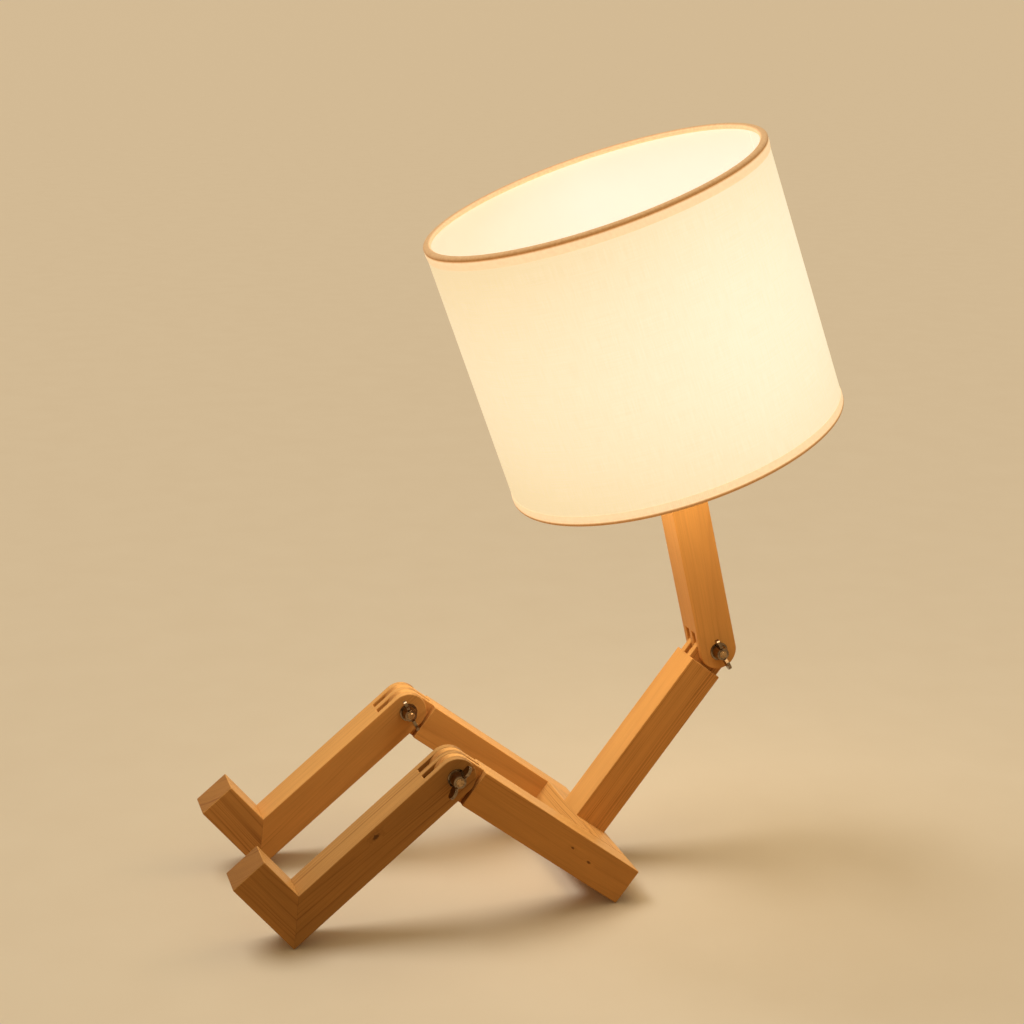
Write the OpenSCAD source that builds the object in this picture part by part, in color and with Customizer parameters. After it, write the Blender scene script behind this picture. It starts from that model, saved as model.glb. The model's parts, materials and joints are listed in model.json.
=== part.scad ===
// Table lamp built like a small seated figure. Feet, shins, thighs, torso and neck are square wooden
// bars, joined by finger hinges that wing nuts clamp, and a drum shade on the neck is its head.
// All sizes are in millimetres. +Z is up, the feet point to -Y and the figure's left side is +X.
// The origin lies on the table, below the middle of the lamp.

/* [Wooden bars] */
// Width and thickness of every square bar
bar_w = 25; // [20:1:32]
// Chamfer along the long edges of the bars
edge_ease = 0.8; // [0.2:0.1:1.6]

/* [Legs] */
// Knee pivot to the sole
shin_l = 142; // [115:1:170]
// Knee pivot to the butt end of the thigh
thigh_l = 143; // [115:1:170]
// Heel to toe
foot_l = 57; // [42:1:75]
// Width of the hip block, which is the clear width between the thighs
hip_w = 92; // [70:1:130]
// Length of the hip block along the thighs
hip_l = 28; // [25:1:40]
// Slope of the shins above the table, in degrees
shin_lean = 38.8; // [32:0.1:46]

/* [Torso and neck] */
// Top of the hip block to the neck pivot
torso_l = 142; // [110:1:170]
// Neck pivot to the top end of the neck bar
neck_l = 164; // [140:1:190]
// Forward lean of the neck, in degrees from upright
neck_lean = 12.8; // [8:0.1:18]
// Forward lean of the shade, in degrees from upright
shade_lean = 19.5; // [15:0.1:24]

/* [Finger hinges] */
// Play on each side of a finger in its slot
finger_gap = 0.1; // [0.05:0.05:0.3]
// Round finger ends of the shin and neck to the shoulders of the thigh and torso
shoulder_gap = 1.5; // [1:0.1:3]
// Round finger ends of the thigh and torso to the slot bottoms of the shin and neck
slot_gap = 2.5; // [1:0.1:5]
// Diameter of the hinge bolts
bolt_d = 5; // [4:0.5:6]
// Radial play of the bolts in their holes
pivot_gap = 0.05; // [0.02:0.01:0.1]
// Diameter of the domed bolt heads
bolt_head_d = 10; // [9:0.5:13]
// Height of the domed bolt heads
bolt_head_h = 3; // [2:0.5:4]
// Thread that shows past the wing nut
bolt_end = 1.5; // [0.5:0.5:4]
// Diameter of the washers
washer_d = 12; // [10:0.5:15]
// Thickness of the washers
washer_t = 1; // [0.6:0.1:1.6]

/* [Wing nuts] */
// Diameter of the hub at its foot
nut_foot_d = 10; // [9:0.5:13]
// Diameter of the hub at its top
nut_top_d = 8; // [8:0.5:10]
// Height of the hub
nut_hub_h = 6.5; // [5:0.5:9]
// Tip to tip over both wings
wing_span = 23; // [20:0.5:28]
// Height of the wing tips above the foot
wing_h = 10; // [9:0.5:13]
// Diameter of the round wing ends
wing_end_d = 7; // [5:0.5:8]
// Thickness of the wings
wing_t = 2; // [1.5:0.1:2.6]
// Turn of the left knee's wing nut at rest, in degrees
nut_turn_left = 56; // [0:1:180]
// Turn of the right knee's wing nut at rest, in degrees
nut_turn_right = 113; // [0:1:180]
// Turn of the neck's wing nut at rest, in degrees
nut_turn_neck = 115; // [0:1:180]

/* [Glued and screwed joints] */
// Diameter of the dowels between the thighs and the hip block
hip_dowel_d = 8; // [5:1:9]
// Length of those dowels
hip_dowel_l = 30; // [20:1:36]
// Diameter of the dowel through each heel mitre
heel_dowel_d = 6; // [4:1:8]
// Length of the heel dowels
heel_dowel_l = 24; // [16:1:26]
// Room for glue around each dowel
glue_gap = 0.05; // [0.02:0.01:0.1]
// Room for glue past each end of a dowel
glue_end = 0.5; // [0.3:0.1:1]
// Diameter of the two screws from the hip block into the torso
screw_d = 4; // [3:0.5:5]
// Length of those screws
screw_l = 60; // [45:1:80]
// Distance between the two screws
screw_pitch = 12; // [10:0.5:14]
// Depth of the screw heads below the wood
screw_sink = 1; // [0.5:0.1:2]

/* [Shade] */
// Outer diameter of the shade
shade_d = 220; // [180:1:260]
// Height of the shade
shade_h = 178; // [150:1:210]
// Thickness of the laminated drum
drum_wall = 0.8; // [0.6:0.1:1.5]
// Thickness of the fabric folded over the rims
hem_t = 0.5; // [0.3:0.1:1]
// Thickness of the rolled rims
hem_d = 5; // [4.5:0.1:6.5]
// Height of the flat part of the folded fabric, from the wire
hem_band = 8; // [5:0.5:14]
// Diameter of the ring wires
wire_d = 3; // [2:0.1:3.2]
// Diameter of the spider's arms
arm_d = 2.8; // [2:0.1:3]
// Number of arms
arms = 3; // [3:1:5]
// Lower edge of the shade to the top end of the neck bar
shade_drop = 25; // [15:1:35]

/* [Lampholder] */
// Diameter of the threaded skirt
skirt_d = 39.5; // [38:0.5:42]
// Wall of the housing
holder_wall = 2.35; // [1.8:0.05:3]
// Diameter of the cap's foot on the neck bar
cap_foot_d = 30; // [26:1:34]
// Height of the cap
cap_h = 16; // [13:0.5:20]
// Height of the whole housing
holder_h = 50; // [46:1:56]
// Diameter of the shoulder that carries the shade's fitter ring
shoulder_d = 45; // [43:1:50]
// Thickness of that shoulder
shoulder_t = 3; // [2:0.5:5]
// Outer diameter of the threaded tube into the neck bar
nipple_d = 10; // [9:0.5:11]
// Depth of the threaded tube in the neck bar
nipple_deep = 12; // [9:0.5:13]
// Thickness of the fitter ring, which the ring nut clamps on the shoulder
fitter_t = 1.5; // [1:0.1:2]
// Outer diameter of the ring nut
ring_nut_d = 58; // [54:1:66]
// Height of the ring nut
ring_nut_h = 7; // [5:0.5:10]

/* [Bulb] */
// Diameter of the bulb
bulb_d = 55; // [45:1:60]
// Diameter of the screw cap
bulb_cap_d = 26.4; // [26:0.1:26.8]
// Length of the bulb's body above the screw cap
bulb_body_l = 34; // [26:1:44]
// Rise of the dome's centre above the body's rim
dome_rise = 8; // [4:1:12]

/* [Cord inlet] */
// Bore of the cord bush
bush_bore_d = 6.4; // [5:0.1:7]
// Diameter of the bush's stem
bush_d = 9; // [8:0.5:10]
// Diameter of the bush's flange
bush_flange_d = 13; // [11:0.5:16]
// Thickness of the bush's flange
bush_flange_t = 2; // [1:0.5:3]
// Length of the bush's stem
bush_l = 8; // [6:0.5:8.5]
// Inlet's axis below the top end of the neck bar
inlet_down = 20; // [19:0.5:26]

/* [Hidden] */
$fn = 96;
// A little more than the cut needs, so that no face is shared with what is cut
over = 1;
half_w = bar_w / 2;

// Finger hinges: five layers across a bar, where shin and neck hold the outer and middle ones
layers = 5;
finger_t = bar_w / layers;
shoulder_at = half_w + shoulder_gap;
slot_at = half_w + slot_gap;

// Places along the figure, as [y, z] with y counted from the heels' lowest edge
leg_x = (hip_w + bar_w) / 2;
knee_z = shin_l * sin(shin_lean) + half_w * cos(shin_lean);
heel_to_knee = shin_l * cos(shin_lean) - half_w * sin(shin_lean);
// The thighs slope so that their butt ends rest on the table too
thigh_lean = asin(knee_z / norm([thigh_l, half_w])) - atan(half_w / thigh_l);
heel_to_butt = heel_to_knee + thigh_l * cos(thigh_lean) - half_w * sin(thigh_lean);
neck_pivot = [
    heel_to_butt + (bar_w + torso_l) * sin(thigh_lean) - (hip_l - half_w) * cos(thigh_lean),
    (bar_w + torso_l) * cos(thigh_lean) + (hip_l - half_w) * sin(thigh_lean)
];
neck_top = neck_pivot + neck_l * [-sin(neck_lean), cos(neck_lean)];
// The toes reach furthest forward, and the shade's lower rim furthest back
front_y = -foot_l * sin(shin_lean);
back_y = neck_top[0] + (shade_drop - hem_d / 2) * sin(shade_lean)
    + (shade_d - hem_d) / 2 * cos(shade_lean) + hem_d / 2;
middle_y = (front_y + back_y) / 2;

// Hinge hardware, across the bar from its +X face
nut_foot_x = half_w + washer_t;
bolt_tip_x = nut_foot_x + nut_hub_h + bolt_end;
hole_d = bolt_d + 2 * pivot_gap;

// Heads of the wood screws
screw_head_d = 2 * screw_d;
screw_head_h = screw_d / 2;
screw_hole_d = screw_d + 2 * glue_gap;

// Shade, as radii and as heights above the top end of the neck bar
shade_low = -shade_drop;
shade_high = shade_h - shade_drop;
drum_r = shade_d / 2 - hem_t;
drum_in_r = drum_r - drum_wall;
wire_gap = 0.1;
wire_ring_r = drum_in_r - wire_gap - wire_d / 2;
hem_ring_r = (shade_d - hem_d) / 2;
// The wires' centres lie this far inside the rims, and the drum's edges reach past them
wire_at = hem_d / 2;
drum_past_wire = 0.8;
// Room around each arm where it passes through the lower hem
slit_gap = 0.3;

// Lampholder, as radii and as heights above the top end of the neck bar
skirt_r = skirt_d / 2;
floor_t = 2;
ledge_t = 2;
core_gap = 0.2;
core_r = skirt_r - holder_wall - core_gap;
fitter_low = cap_h + shoulder_t;
// The fitter ring stands out past the ring nut, so that its arms clear it
fitter_r = ring_nut_d / 2 + 1;
ring_low = fitter_low + fitter_t;
thread_gap = 0.25;
lip_t = 2;
core_low = cap_h - ledge_t;
core_floor = 6;
sleeve_low = core_low + core_floor;
sleeve_wall = 0.8;
sleeve_in_r = bulb_cap_d / 2 + thread_gap;
sleeve_r = sleeve_in_r + sleeve_wall;
core_high = holder_h - lip_t - core_gap;
sleeve_high = core_high - 2;
boss_h = 6;
boss_r = 12;
terminal_x = 9;
terminal_d = 3;
terminal_head_d = 5.4;
terminal_head_h = 1.6;
nut_af = 14;
nipple_nut_h = 3;
nipple_bore_d = 7;
nipple_high = floor_t + nipple_nut_h + 1;

// Bulb, as heights above the top end of the neck bar
contact_h = 4;
bulb_low = sleeve_low + contact_h;
tip_h = 1;
insulator_h = 3.5;
cap_low = bulb_low + tip_h + insulator_h;
cap_high = holder_h + 1;
body_high = cap_high + bulb_body_l;
dome_r = bulb_d / 2;
dome_wall = 1.2;
rim_r = sqrt(pow(dome_r, 2) - pow(dome_rise, 2));
board_t = 1.6;
board_sink = 1;
board_gap = 0.3;

LEFT = 1;
RIGHT = -1;

// ---- Colours ----
wood_c = [0.87, 0.64, 0.36];
dowel_c = [0.90, 0.78, 0.56];
nickel_c = [0.78, 0.77, 0.74];
brass_c = [0.80, 0.64, 0.30];
plastic_c = [0.93, 0.92, 0.88];
core_c = [0.90, 0.88, 0.82];
fabric_c = [1.00, 0.94, 0.80];
hem_c = [0.78, 0.62, 0.42];
dark_c = [0.12, 0.11, 0.10];

// ---- Frames ----
// A knee's pivot, with the lamp's own axes
module knee_frame(side)
    translate([side * leg_x, heel_to_knee - middle_y, knee_z])
    children();

// The shin's frame: pivot at the origin, +Z down the shin to the heel, +Y to its front face
module shin_frame(side)
    knee_frame(side)
    rotate([90 + shin_lean, 0, 0])
    children();

// The seat's frame: origin on the table below the butt ends, +Y down the thighs, +Z out of them
module seat_frame()
    translate([0, heel_to_butt - middle_y, 0])
    rotate([-thigh_lean, 0, 0])
    children();

// The neck's pivot, with the lamp's own axes
module pivot_frame()
    translate([0, neck_pivot[0] - middle_y, neck_pivot[1]])
    children();

// The neck's frame: pivot at the origin, +Z up the neck bar, +Y to its back face
module neck_frame()
    pivot_frame()
    rotate([neck_lean, 0, 0])
    children();

// The shade's frame: origin on the top end of the neck bar, +Z up the shade's axis
module shade_frame()
    neck_frame()
    translate([0, 0, neck_l])
    rotate([shade_lean - neck_lean, 0, 0])
    children();

// The middle of a heel's mitre, with +Z square to the glued faces, from shin to foot
module mitre_frame(side)
    shin_frame(side)
    translate([0, 0, shin_l - half_w])
    rotate([-45, 0, 0])
    children();

// ---- Bars and hinges ----
// Square section with chamfered corners
module bar_section() {
    e = half_w - edge_ease;
    polygon([
        [half_w, -e], [half_w, e], [e, half_w], [-e, half_w],
        [-half_w, e], [-half_w, -e], [-e, -half_w], [e, -half_w]
    ]);
}

// Plain bar along +Z
module bar(length)
    linear_extrude(length)
    bar_section();

// Flat shape in the Y-Z plane, made solid across the bar
module across(width)
    rotate([90, 0, 90])
    linear_extrude(width, center = true)
    children();

// Bar along +Z with a round end about the pivot at the origin
module round_ended_bar(length)
    intersection() {
        translate([0, 0, -half_w - over])
            bar(length + half_w + over);
        across(bar_w + 2 * over) {
            circle(half_w);
            translate([-half_w, 0])
                square([bar_w, length]);
        }
    }

// Box that clears one finger layer of a hinge, down to the given depth past the pivot
module layer_cut(layer, depth, play)
    translate([(layer - (layers + 1) / 2) * finger_t, 0, (depth - half_w - over) / 2])
    cube([finger_t + 2 * play, bar_w + 2 * over, depth + half_w + over], center = true);

// Box that clears an outer finger layer and all that lies outside it
module outer_cut(side, depth)
    translate([side * (1.5 * finger_t + bar_w / 2), 0, (depth - half_w - over) / 2])
    cube([bar_w, bar_w + 2 * over, depth + half_w + over], center = true);

module pivot_hole()
    rotate([0, 90, 0])
    cylinder(d = hole_d, h = bar_w + 2 * over, center = true);

// Bar with three fingers, as on the shins and the neck
module three_finger_bar(length)
    difference() {
        round_ended_bar(length);
        layer_cut(2, slot_at, finger_gap);
        layer_cut(4, slot_at, finger_gap);
        pivot_hole();
    }

// Bar with two fingers, as on the thighs and the torso
module two_finger_bar(length)
    difference() {
        round_ended_bar(length);
        outer_cut(LEFT, shoulder_at);
        outer_cut(RIGHT, shoulder_at);
        layer_cut(3, shoulder_at, 0);
        pivot_hole();
    }

// Everything on the foot's side of a heel's mitre
module beyond_mitre(side)
    mitre_frame(side)
    translate([-bar_w, -2 * bar_w, 0])
    cube([2 * bar_w, 4 * bar_w, 3 * bar_w]);

// Dowel along its own axis, and the hole it is glued into
module dowel(d, length)
    cylinder(d = d, h = length, center = true);

module dowel_hole(d, length)
    cylinder(d = d + 2 * glue_gap, h = length + 2 * glue_end, center = true);

// ---- Seat: thighs, hip block and torso ----
// Places of the four hip dowels, each lying across the joint of a thigh and the block
module at_hip_dowels()
    for (side = [LEFT, RIGHT], share = [1, 3])
        translate([side * hip_w / 2, -hip_l * share / 4, half_w])
        rotate([0, 90, 0])
        children();

// Places of the two screws, on the underside of the hip block below the torso
module at_torso_screws()
    for (side = [LEFT, RIGHT])
        translate([side * screw_pitch / 2, half_w - hip_l, 0])
        children();

module thigh(side)
    color(wood_c)
    seat_frame()
    difference() {
        translate([side * leg_x, -thigh_l, half_w])
            rotate([-90, 0, 0])
            two_finger_bar(thigh_l);
        at_hip_dowels()
            dowel_hole(hip_dowel_d, hip_dowel_l);
    }

module hip_block()
    color(wood_c)
    seat_frame()
    difference() {
        translate([-hip_w / 2, -hip_l, 0])
            cube([hip_w, hip_l, bar_w]);
        at_hip_dowels()
            dowel_hole(hip_dowel_d, hip_dowel_l);
        at_torso_screws() {
            translate([0, 0, -over])
                cylinder(d = screw_head_d + 2 * glue_gap, h = screw_sink + over);
            translate([0, 0, screw_sink])
                cylinder(d1 = screw_head_d + 2 * glue_gap, d2 = screw_hole_d, h = screw_head_h);
            cylinder(d = screw_hole_d, h = bar_w + over);
        }
    }

module torso()
    color(wood_c)
    seat_frame()
    difference() {
        translate([0, half_w - hip_l, bar_w + torso_l])
            rotate([180, 0, 0])
            two_finger_bar(torso_l);
        at_torso_screws()
            cylinder(d = screw_hole_d, h = screw_sink + screw_l + glue_end);
    }

module hip_dowels()
    color(dowel_c)
    seat_frame()
    at_hip_dowels()
    dowel(hip_dowel_d, hip_dowel_l);

// Countersunk wood screws, with a cross recess in the head
module torso_screws()
    color(nickel_c)
    seat_frame()
    at_torso_screws()
    translate([0, 0, screw_sink])
    difference() {
        union() {
            cylinder(d1 = screw_head_d, d2 = screw_d, h = screw_head_h);
            cylinder(d = screw_d, h = screw_l - screw_d);
            translate([0, 0, screw_l - screw_d])
                cylinder(d1 = screw_d, d2 = screw_d / 4, h = screw_d);
        }
        for (turn = [0, 90])
            rotate([0, 0, turn])
            cube([0.6 * screw_head_d, 0.15 * screw_head_d, screw_head_h], center = true);
    }

// ---- Legs ----
module shin(side)
    color(wood_c)
    difference() {
        shin_frame(side)
            three_finger_bar(shin_l);
        beyond_mitre(side);
        mitre_frame(side)
            dowel_hole(heel_dowel_d, heel_dowel_l);
    }

module foot(side)
    color(wood_c)
    difference() {
        intersection() {
            shin_frame(side)
                translate([0, -half_w, shin_l - half_w])
                rotate([-90, 0, 0])
                bar(foot_l);
            beyond_mitre(side);
        }
        mitre_frame(side)
            dowel_hole(heel_dowel_d, heel_dowel_l);
    }

module mitre_dowel(side)
    color(dowel_c)
    mitre_frame(side)
    dowel(heel_dowel_d, heel_dowel_l);

// ---- Hinge hardware, in a frame whose X axis is the pivot ----
// Bolt with its domed head on the -X side
module hinge_bolt()
    color(nickel_c)
    rotate([0, 90, 0]) {
        translate([0, 0, -nut_foot_x])
            cylinder(d = bolt_d, h = nut_foot_x + bolt_tip_x);
        translate([0, 0, -nut_foot_x])
            intersection() {
                rotate([180, 0, 0])
                    cylinder(d = bolt_head_d, h = bolt_head_h);
                translate([0, 0, dome_ball_r(bolt_head_d / 2, bolt_head_h) - bolt_head_h])
                    sphere(dome_ball_r(bolt_head_d / 2, bolt_head_h));
            }
    }

// Radius of the ball whose cap has the given foot radius and height
function dome_ball_r(foot_r, height) = (pow(foot_r, 2) + pow(height, 2)) / (2 * height);

// A washer on each side of the bar
module hinge_washers()
    color(nickel_c)
    for (side = [LEFT, RIGHT])
        translate([side * (half_w + washer_t / 2), 0, 0])
        rotate([0, 90, 0])
        difference() {
            cylinder(d = washer_d, h = washer_t, center = true);
            cylinder(d = hole_d, h = washer_t + 2 * over, center = true);
        }

// Wing nut on the +X side, with its wings turned by the given angle
module wing_nut(turn)
    color(nickel_c)
    translate([nut_foot_x, 0, 0])
    rotate([turn, 0, 0])
    rotate([0, 90, 0])
    difference() {
        union() {
            cylinder(d1 = nut_foot_d, d2 = nut_top_d, h = nut_hub_h);
            for (side = [0, 180])
                rotate([0, 0, side])
                wing();
        }
        translate([0, 0, -over])
            cylinder(d = hole_d, h = nut_hub_h + wing_h);
    }

// One wing, standing on the hub and leaning out along +Y
module wing() {
    end_r = wing_end_d / 2;
    end_y = wing_span / 2 - end_r;
    end_z = wing_h - end_r;
    root_r = nut_top_d / 2 - 0.5;
    rotate([90, 0, 90])
        linear_extrude(wing_t, center = true) {
            translate([end_y, end_z])
                circle(end_r);
            polygon([
                [0, 1], [root_r, 0.5], [end_y + 0.7 * end_r, end_z - 0.7 * end_r],
                [end_y - 0.7 * end_r, end_z + 0.7 * end_r], [root_r, nut_hub_h], [0, nut_hub_h]
            ]);
        }
}

// ---- Neck and cord inlet ----
module inlet_frame()
    neck_frame()
    translate([0, half_w, neck_l - inlet_down])
    rotate([-90, 0, 0])
    children();

module neck()
    color(wood_c)
    difference() {
        neck_frame()
            three_finger_bar(neck_l + bar_w);
        shade_frame() {
            translate([-bar_w, -bar_w, 0])
                cube([2 * bar_w, 2 * bar_w, 3 * bar_w]);
            translate([0, 0, -nipple_deep])
                cylinder(d = nipple_d + 2 * glue_gap, h = nipple_deep + over);
            translate([0, 0, -inlet_down])
                cylinder(d = nipple_bore_d, h = inlet_down);
        }
        inlet_frame()
            translate([0, 0, -half_w])
            cylinder(d = bush_d + 2 * glue_gap, h = half_w + over);
    }

module cord_bush()
    color(dark_c)
    inlet_frame()
    difference() {
        union() {
            cylinder(d = bush_flange_d, h = bush_flange_t);
            translate([0, 0, -bush_l])
                cylinder(d = bush_d, h = bush_l + bush_flange_t / 2);
        }
        translate([0, 0, -bush_l - over])
            cylinder(d = bush_bore_d, h = bush_l + bush_flange_t + 2 * over);
    }

// ---- Lampholder, on the top end of the neck bar ----
module tube(outer_r, inner_r, low, high)
    translate([0, 0, low])
    difference() {
        cylinder(r = outer_r, h = high - low);
        translate([0, 0, -over])
            cylinder(r = inner_r, h = high - low + 2 * over);
    }

module holder_nipple()
    color(nickel_c)
    shade_frame()
    tube(nipple_d / 2, nipple_bore_d / 2, -nipple_deep, nipple_high);

module nipple_nut()
    color(nickel_c)
    shade_frame()
    translate([0, 0, floor_t])
    difference() {
        cylinder(d = nut_af / cos(30), h = nipple_nut_h, $fn = 6);
        translate([0, 0, -over])
            cylinder(d = nipple_d + 2 * glue_gap, h = nipple_nut_h + 2 * over);
    }

module holder_cap() {
    foot_r = cap_foot_d / 2;
    hole_r = nipple_d / 2 + glue_gap;
    seat_r = core_r + core_gap;
    color(plastic_c)
        shade_frame()
        rotate_extrude()
        polygon([
            [hole_r, 0], [foot_r, 0], [skirt_r, core_low], [skirt_r, cap_h],
            [seat_r, cap_h], [seat_r, core_low], [seat_r - ledge_t, core_low],
            [seat_r - ledge_t, core_low - ledge_t], [foot_r - floor_t, floor_t], [hole_r, floor_t]
        ]);
}

module holder_shell() {
    inner_r = skirt_r - holder_wall;
    color(plastic_c)
        shade_frame()
        rotate_extrude()
        polygon([
            [inner_r, cap_h], [shoulder_d / 2, cap_h], [shoulder_d / 2, fitter_low],
            [skirt_r, fitter_low], [skirt_r, holder_h], [sleeve_r, holder_h],
            [sleeve_r, holder_h - lip_t], [inner_r, holder_h - lip_t]
        ]);
}

// Ring nut with a notched flange, which clamps the shade's fitter on the shoulder
module shade_ring() {
    flange_t = ring_nut_h / 3;
    collar_r = skirt_r + 3;
    grips = 12;
    grip_d = 5;
    color(plastic_c)
        shade_frame()
        translate([0, 0, ring_low])
        difference() {
            union() {
                linear_extrude(flange_t)
                    difference() {
                        circle(d = ring_nut_d);
                        for (i = [0 : grips - 1])
                            rotate(i * 360 / grips)
                            translate([ring_nut_d / 2 + grip_d / 4, 0])
                            circle(d = grip_d);
                    }
                cylinder(r = collar_r, h = ring_nut_h);
            }
            translate([0, 0, -over])
                cylinder(r = skirt_r + thread_gap, h = ring_nut_h + 2 * over);
        }
}

// Places of the two terminal screws below the core
module at_terminals()
    for (side = [LEFT, RIGHT])
        translate([side * terminal_x, 0, core_low - boss_h])
        children();

module holder_core()
    color(core_c)
    shade_frame()
    difference() {
        union() {
            translate([0, 0, core_low])
                cylinder(r = core_r, h = core_high - core_low);
            translate([0, 0, core_low - boss_h])
                cylinder(r = boss_r, h = boss_h + over);
        }
        translate([0, 0, sleeve_low])
            cylinder(r = sleeve_r + core_gap, h = core_high);
        at_terminals()
            translate([0, 0, -over])
            cylinder(d = terminal_d + 2 * glue_gap, h = boss_h + over);
    }

module holder_sleeve()
    color(brass_c)
    shade_frame()
    tube(sleeve_r, sleeve_in_r, sleeve_low, sleeve_high);

module holder_contact()
    color(brass_c)
    shade_frame()
    translate([0, 0, sleeve_low])
    cylinder(d1 = 8, d2 = 6, h = contact_h);

module terminal_screws()
    color(brass_c)
    shade_frame()
    at_terminals() {
        translate([0, 0, -terminal_head_h])
            cylinder(d = terminal_head_d, h = terminal_head_h);
        cylinder(d = terminal_d, h = boss_h - over);
    }

// ---- Bulb ----
module bulb_contact()
    color(brass_c)
    shade_frame()
    translate([0, 0, bulb_low])
    cylinder(r = 4.5, h = tip_h);

module bulb_insulator()
    color(dark_c)
    shade_frame()
    translate([0, 0, bulb_low + tip_h])
    cylinder(r1 = 6, r2 = bulb_cap_d / 2 - 1, h = insulator_h);

module bulb_cap()
    color(nickel_c)
    shade_frame()
    translate([0, 0, cap_low])
    cylinder(d = bulb_cap_d, h = cap_high - cap_low);

module bulb_body()
    color(plastic_c)
    shade_frame()
    difference() {
        translate([0, 0, cap_high])
            cylinder(r1 = bulb_cap_d / 2 + 1.2, r2 = rim_r, h = bulb_body_l);
        translate([0, 0, body_high - board_sink])
            cylinder(r = rim_r - 2, h = board_sink + over);
    }

module led_board()
    color(plastic_c)
    shade_frame()
    translate([0, 0, body_high - board_sink])
    cylinder(r = rim_r - 2 - board_gap, h = board_t);

module bulb_dome()
    color(fabric_c)
    shade_frame()
    translate([0, 0, body_high])
    difference() {
        translate([0, 0, dome_rise])
            sphere(dome_r);
        translate([0, 0, dome_rise])
            sphere(dome_r - dome_wall);
        translate([0, 0, -dome_r])
            cube(2 * dome_r, center = true);
    }

// ---- Shade ----
module wire_ring(height)
    translate([0, 0, height])
    rotate_extrude()
    translate([wire_ring_r, 0])
    circle(d = wire_d);

module ring_top()
    color(nickel_c)
    shade_frame()
    wire_ring(shade_high - wire_at);

module ring_bottom()
    color(nickel_c)
    shade_frame()
    wire_ring(shade_low + wire_at);

module fitter_ring()
    color(nickel_c)
    shade_frame()
    tube(fitter_r, skirt_r + thread_gap, fitter_low, ring_low);

// Rods of the given diameter along the arms, from the fitter ring's edge to the lower wire
module arm_rods(d) {
    inner = [fitter_r, fitter_low + fitter_t / 2];
    outer = [wire_ring_r, shade_low + wire_at];
    reach = outer - inner;
    for (i = [0 : arms - 1])
        rotate([0, 0, 90 + i * 360 / arms])
        translate([inner[0], 0, inner[1]])
        rotate([0, 90 - atan(reach[1] / reach[0]), 0])
        translate([0, 0, -arm_d])
        cylinder(d = d, h = arm_d + norm(reach));
}

// Arms that fall from the fitter ring's edge to the lower wire ring, coped to fit both
module spider_arms()
    color(nickel_c)
    shade_frame()
    difference() {
        arm_rods(arm_d);
        translate([0, 0, fitter_low - arm_d])
            cylinder(r = fitter_r, h = fitter_t + 2 * arm_d);
        wire_ring(shade_low + wire_at);
    }

module shade_drum()
    color(fabric_c)
    shade_frame()
    tube(
        drum_r, drum_in_r,
        shade_low + wire_at - drum_past_wire, shade_high - wire_at + drum_past_wire
    );

// Section of a rim's folded fabric, with the rim's middle at the origin and the drum below
module hem_section()
    difference() {
        union() {
            translate([hem_ring_r, 0])
                circle(d = hem_d);
            translate([drum_r, -hem_band])
                square([hem_t, hem_band]);
        }
        translate([wire_ring_r, 0])
            circle(d = wire_d + wire_gap);
        translate([wire_ring_r, -hem_band - over])
            square([drum_r - wire_ring_r, hem_band + over + drum_past_wire]);
    }

module hem_top()
    color(hem_c)
    shade_frame()
    translate([0, 0, shade_high - wire_at])
    rotate_extrude()
    hem_section();

// The lower hem is slit where the arms reach the wire
module hem_bottom()
    color(hem_c)
    shade_frame()
    difference() {
        translate([0, 0, shade_low + wire_at])
            mirror([0, 0, 1])
            rotate_extrude()
            hem_section();
        arm_rods(arm_d + 2 * slit_gap);
    }

thigh(LEFT);  // thigh_left
thigh(RIGHT);  // thigh_right
hip_block();
torso();
hip_dowels();
torso_screws();
shin(LEFT);  // shin_left
foot(LEFT);  // foot_left
mitre_dowel(LEFT);  // mitre_dowel_left
knee_frame(LEFT) hinge_bolt();  // knee_bolt_left
knee_frame(LEFT) hinge_washers();  // knee_washers_left
knee_frame(LEFT) wing_nut(nut_turn_left);  // knee_wing_nut_left
shin(RIGHT);  // shin_right
foot(RIGHT);  // foot_right
mitre_dowel(RIGHT);  // mitre_dowel_right
knee_frame(RIGHT) hinge_bolt();  // knee_bolt_right
knee_frame(RIGHT) hinge_washers();  // knee_washers_right
knee_frame(RIGHT) wing_nut(nut_turn_right);  // knee_wing_nut_right
neck();
pivot_frame() hinge_bolt();  // neck_bolt
pivot_frame() hinge_washers();  // neck_washers
pivot_frame() wing_nut(nut_turn_neck);  // neck_wing_nut
cord_bush();
holder_nipple();
nipple_nut();
holder_cap();
holder_shell();
shade_ring();
holder_core();
holder_sleeve();
holder_contact();
terminal_screws();
bulb_cap();
bulb_insulator();
bulb_contact();
bulb_body();
led_board();
bulb_dome();
fitter_ring();
spider_arms();
ring_bottom();
ring_top();
shade_drum();
hem_top();
hem_bottom();
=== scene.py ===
# %% [markdown]
# # A wooden lamp that sits like a figure
# The lamp is nine bars of lacquered pine, three hinges that wing nuts clamp, a lampholder with its
# bulb, and a fabric drum on two wire rings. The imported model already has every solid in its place.
# This lesson dresses it: the pieces that are seen are modelled again with eased edges, threads and
# rolled hems, and every surface gets a material of its own. The model stays the authority, so each
# place below is measured on it.

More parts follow.
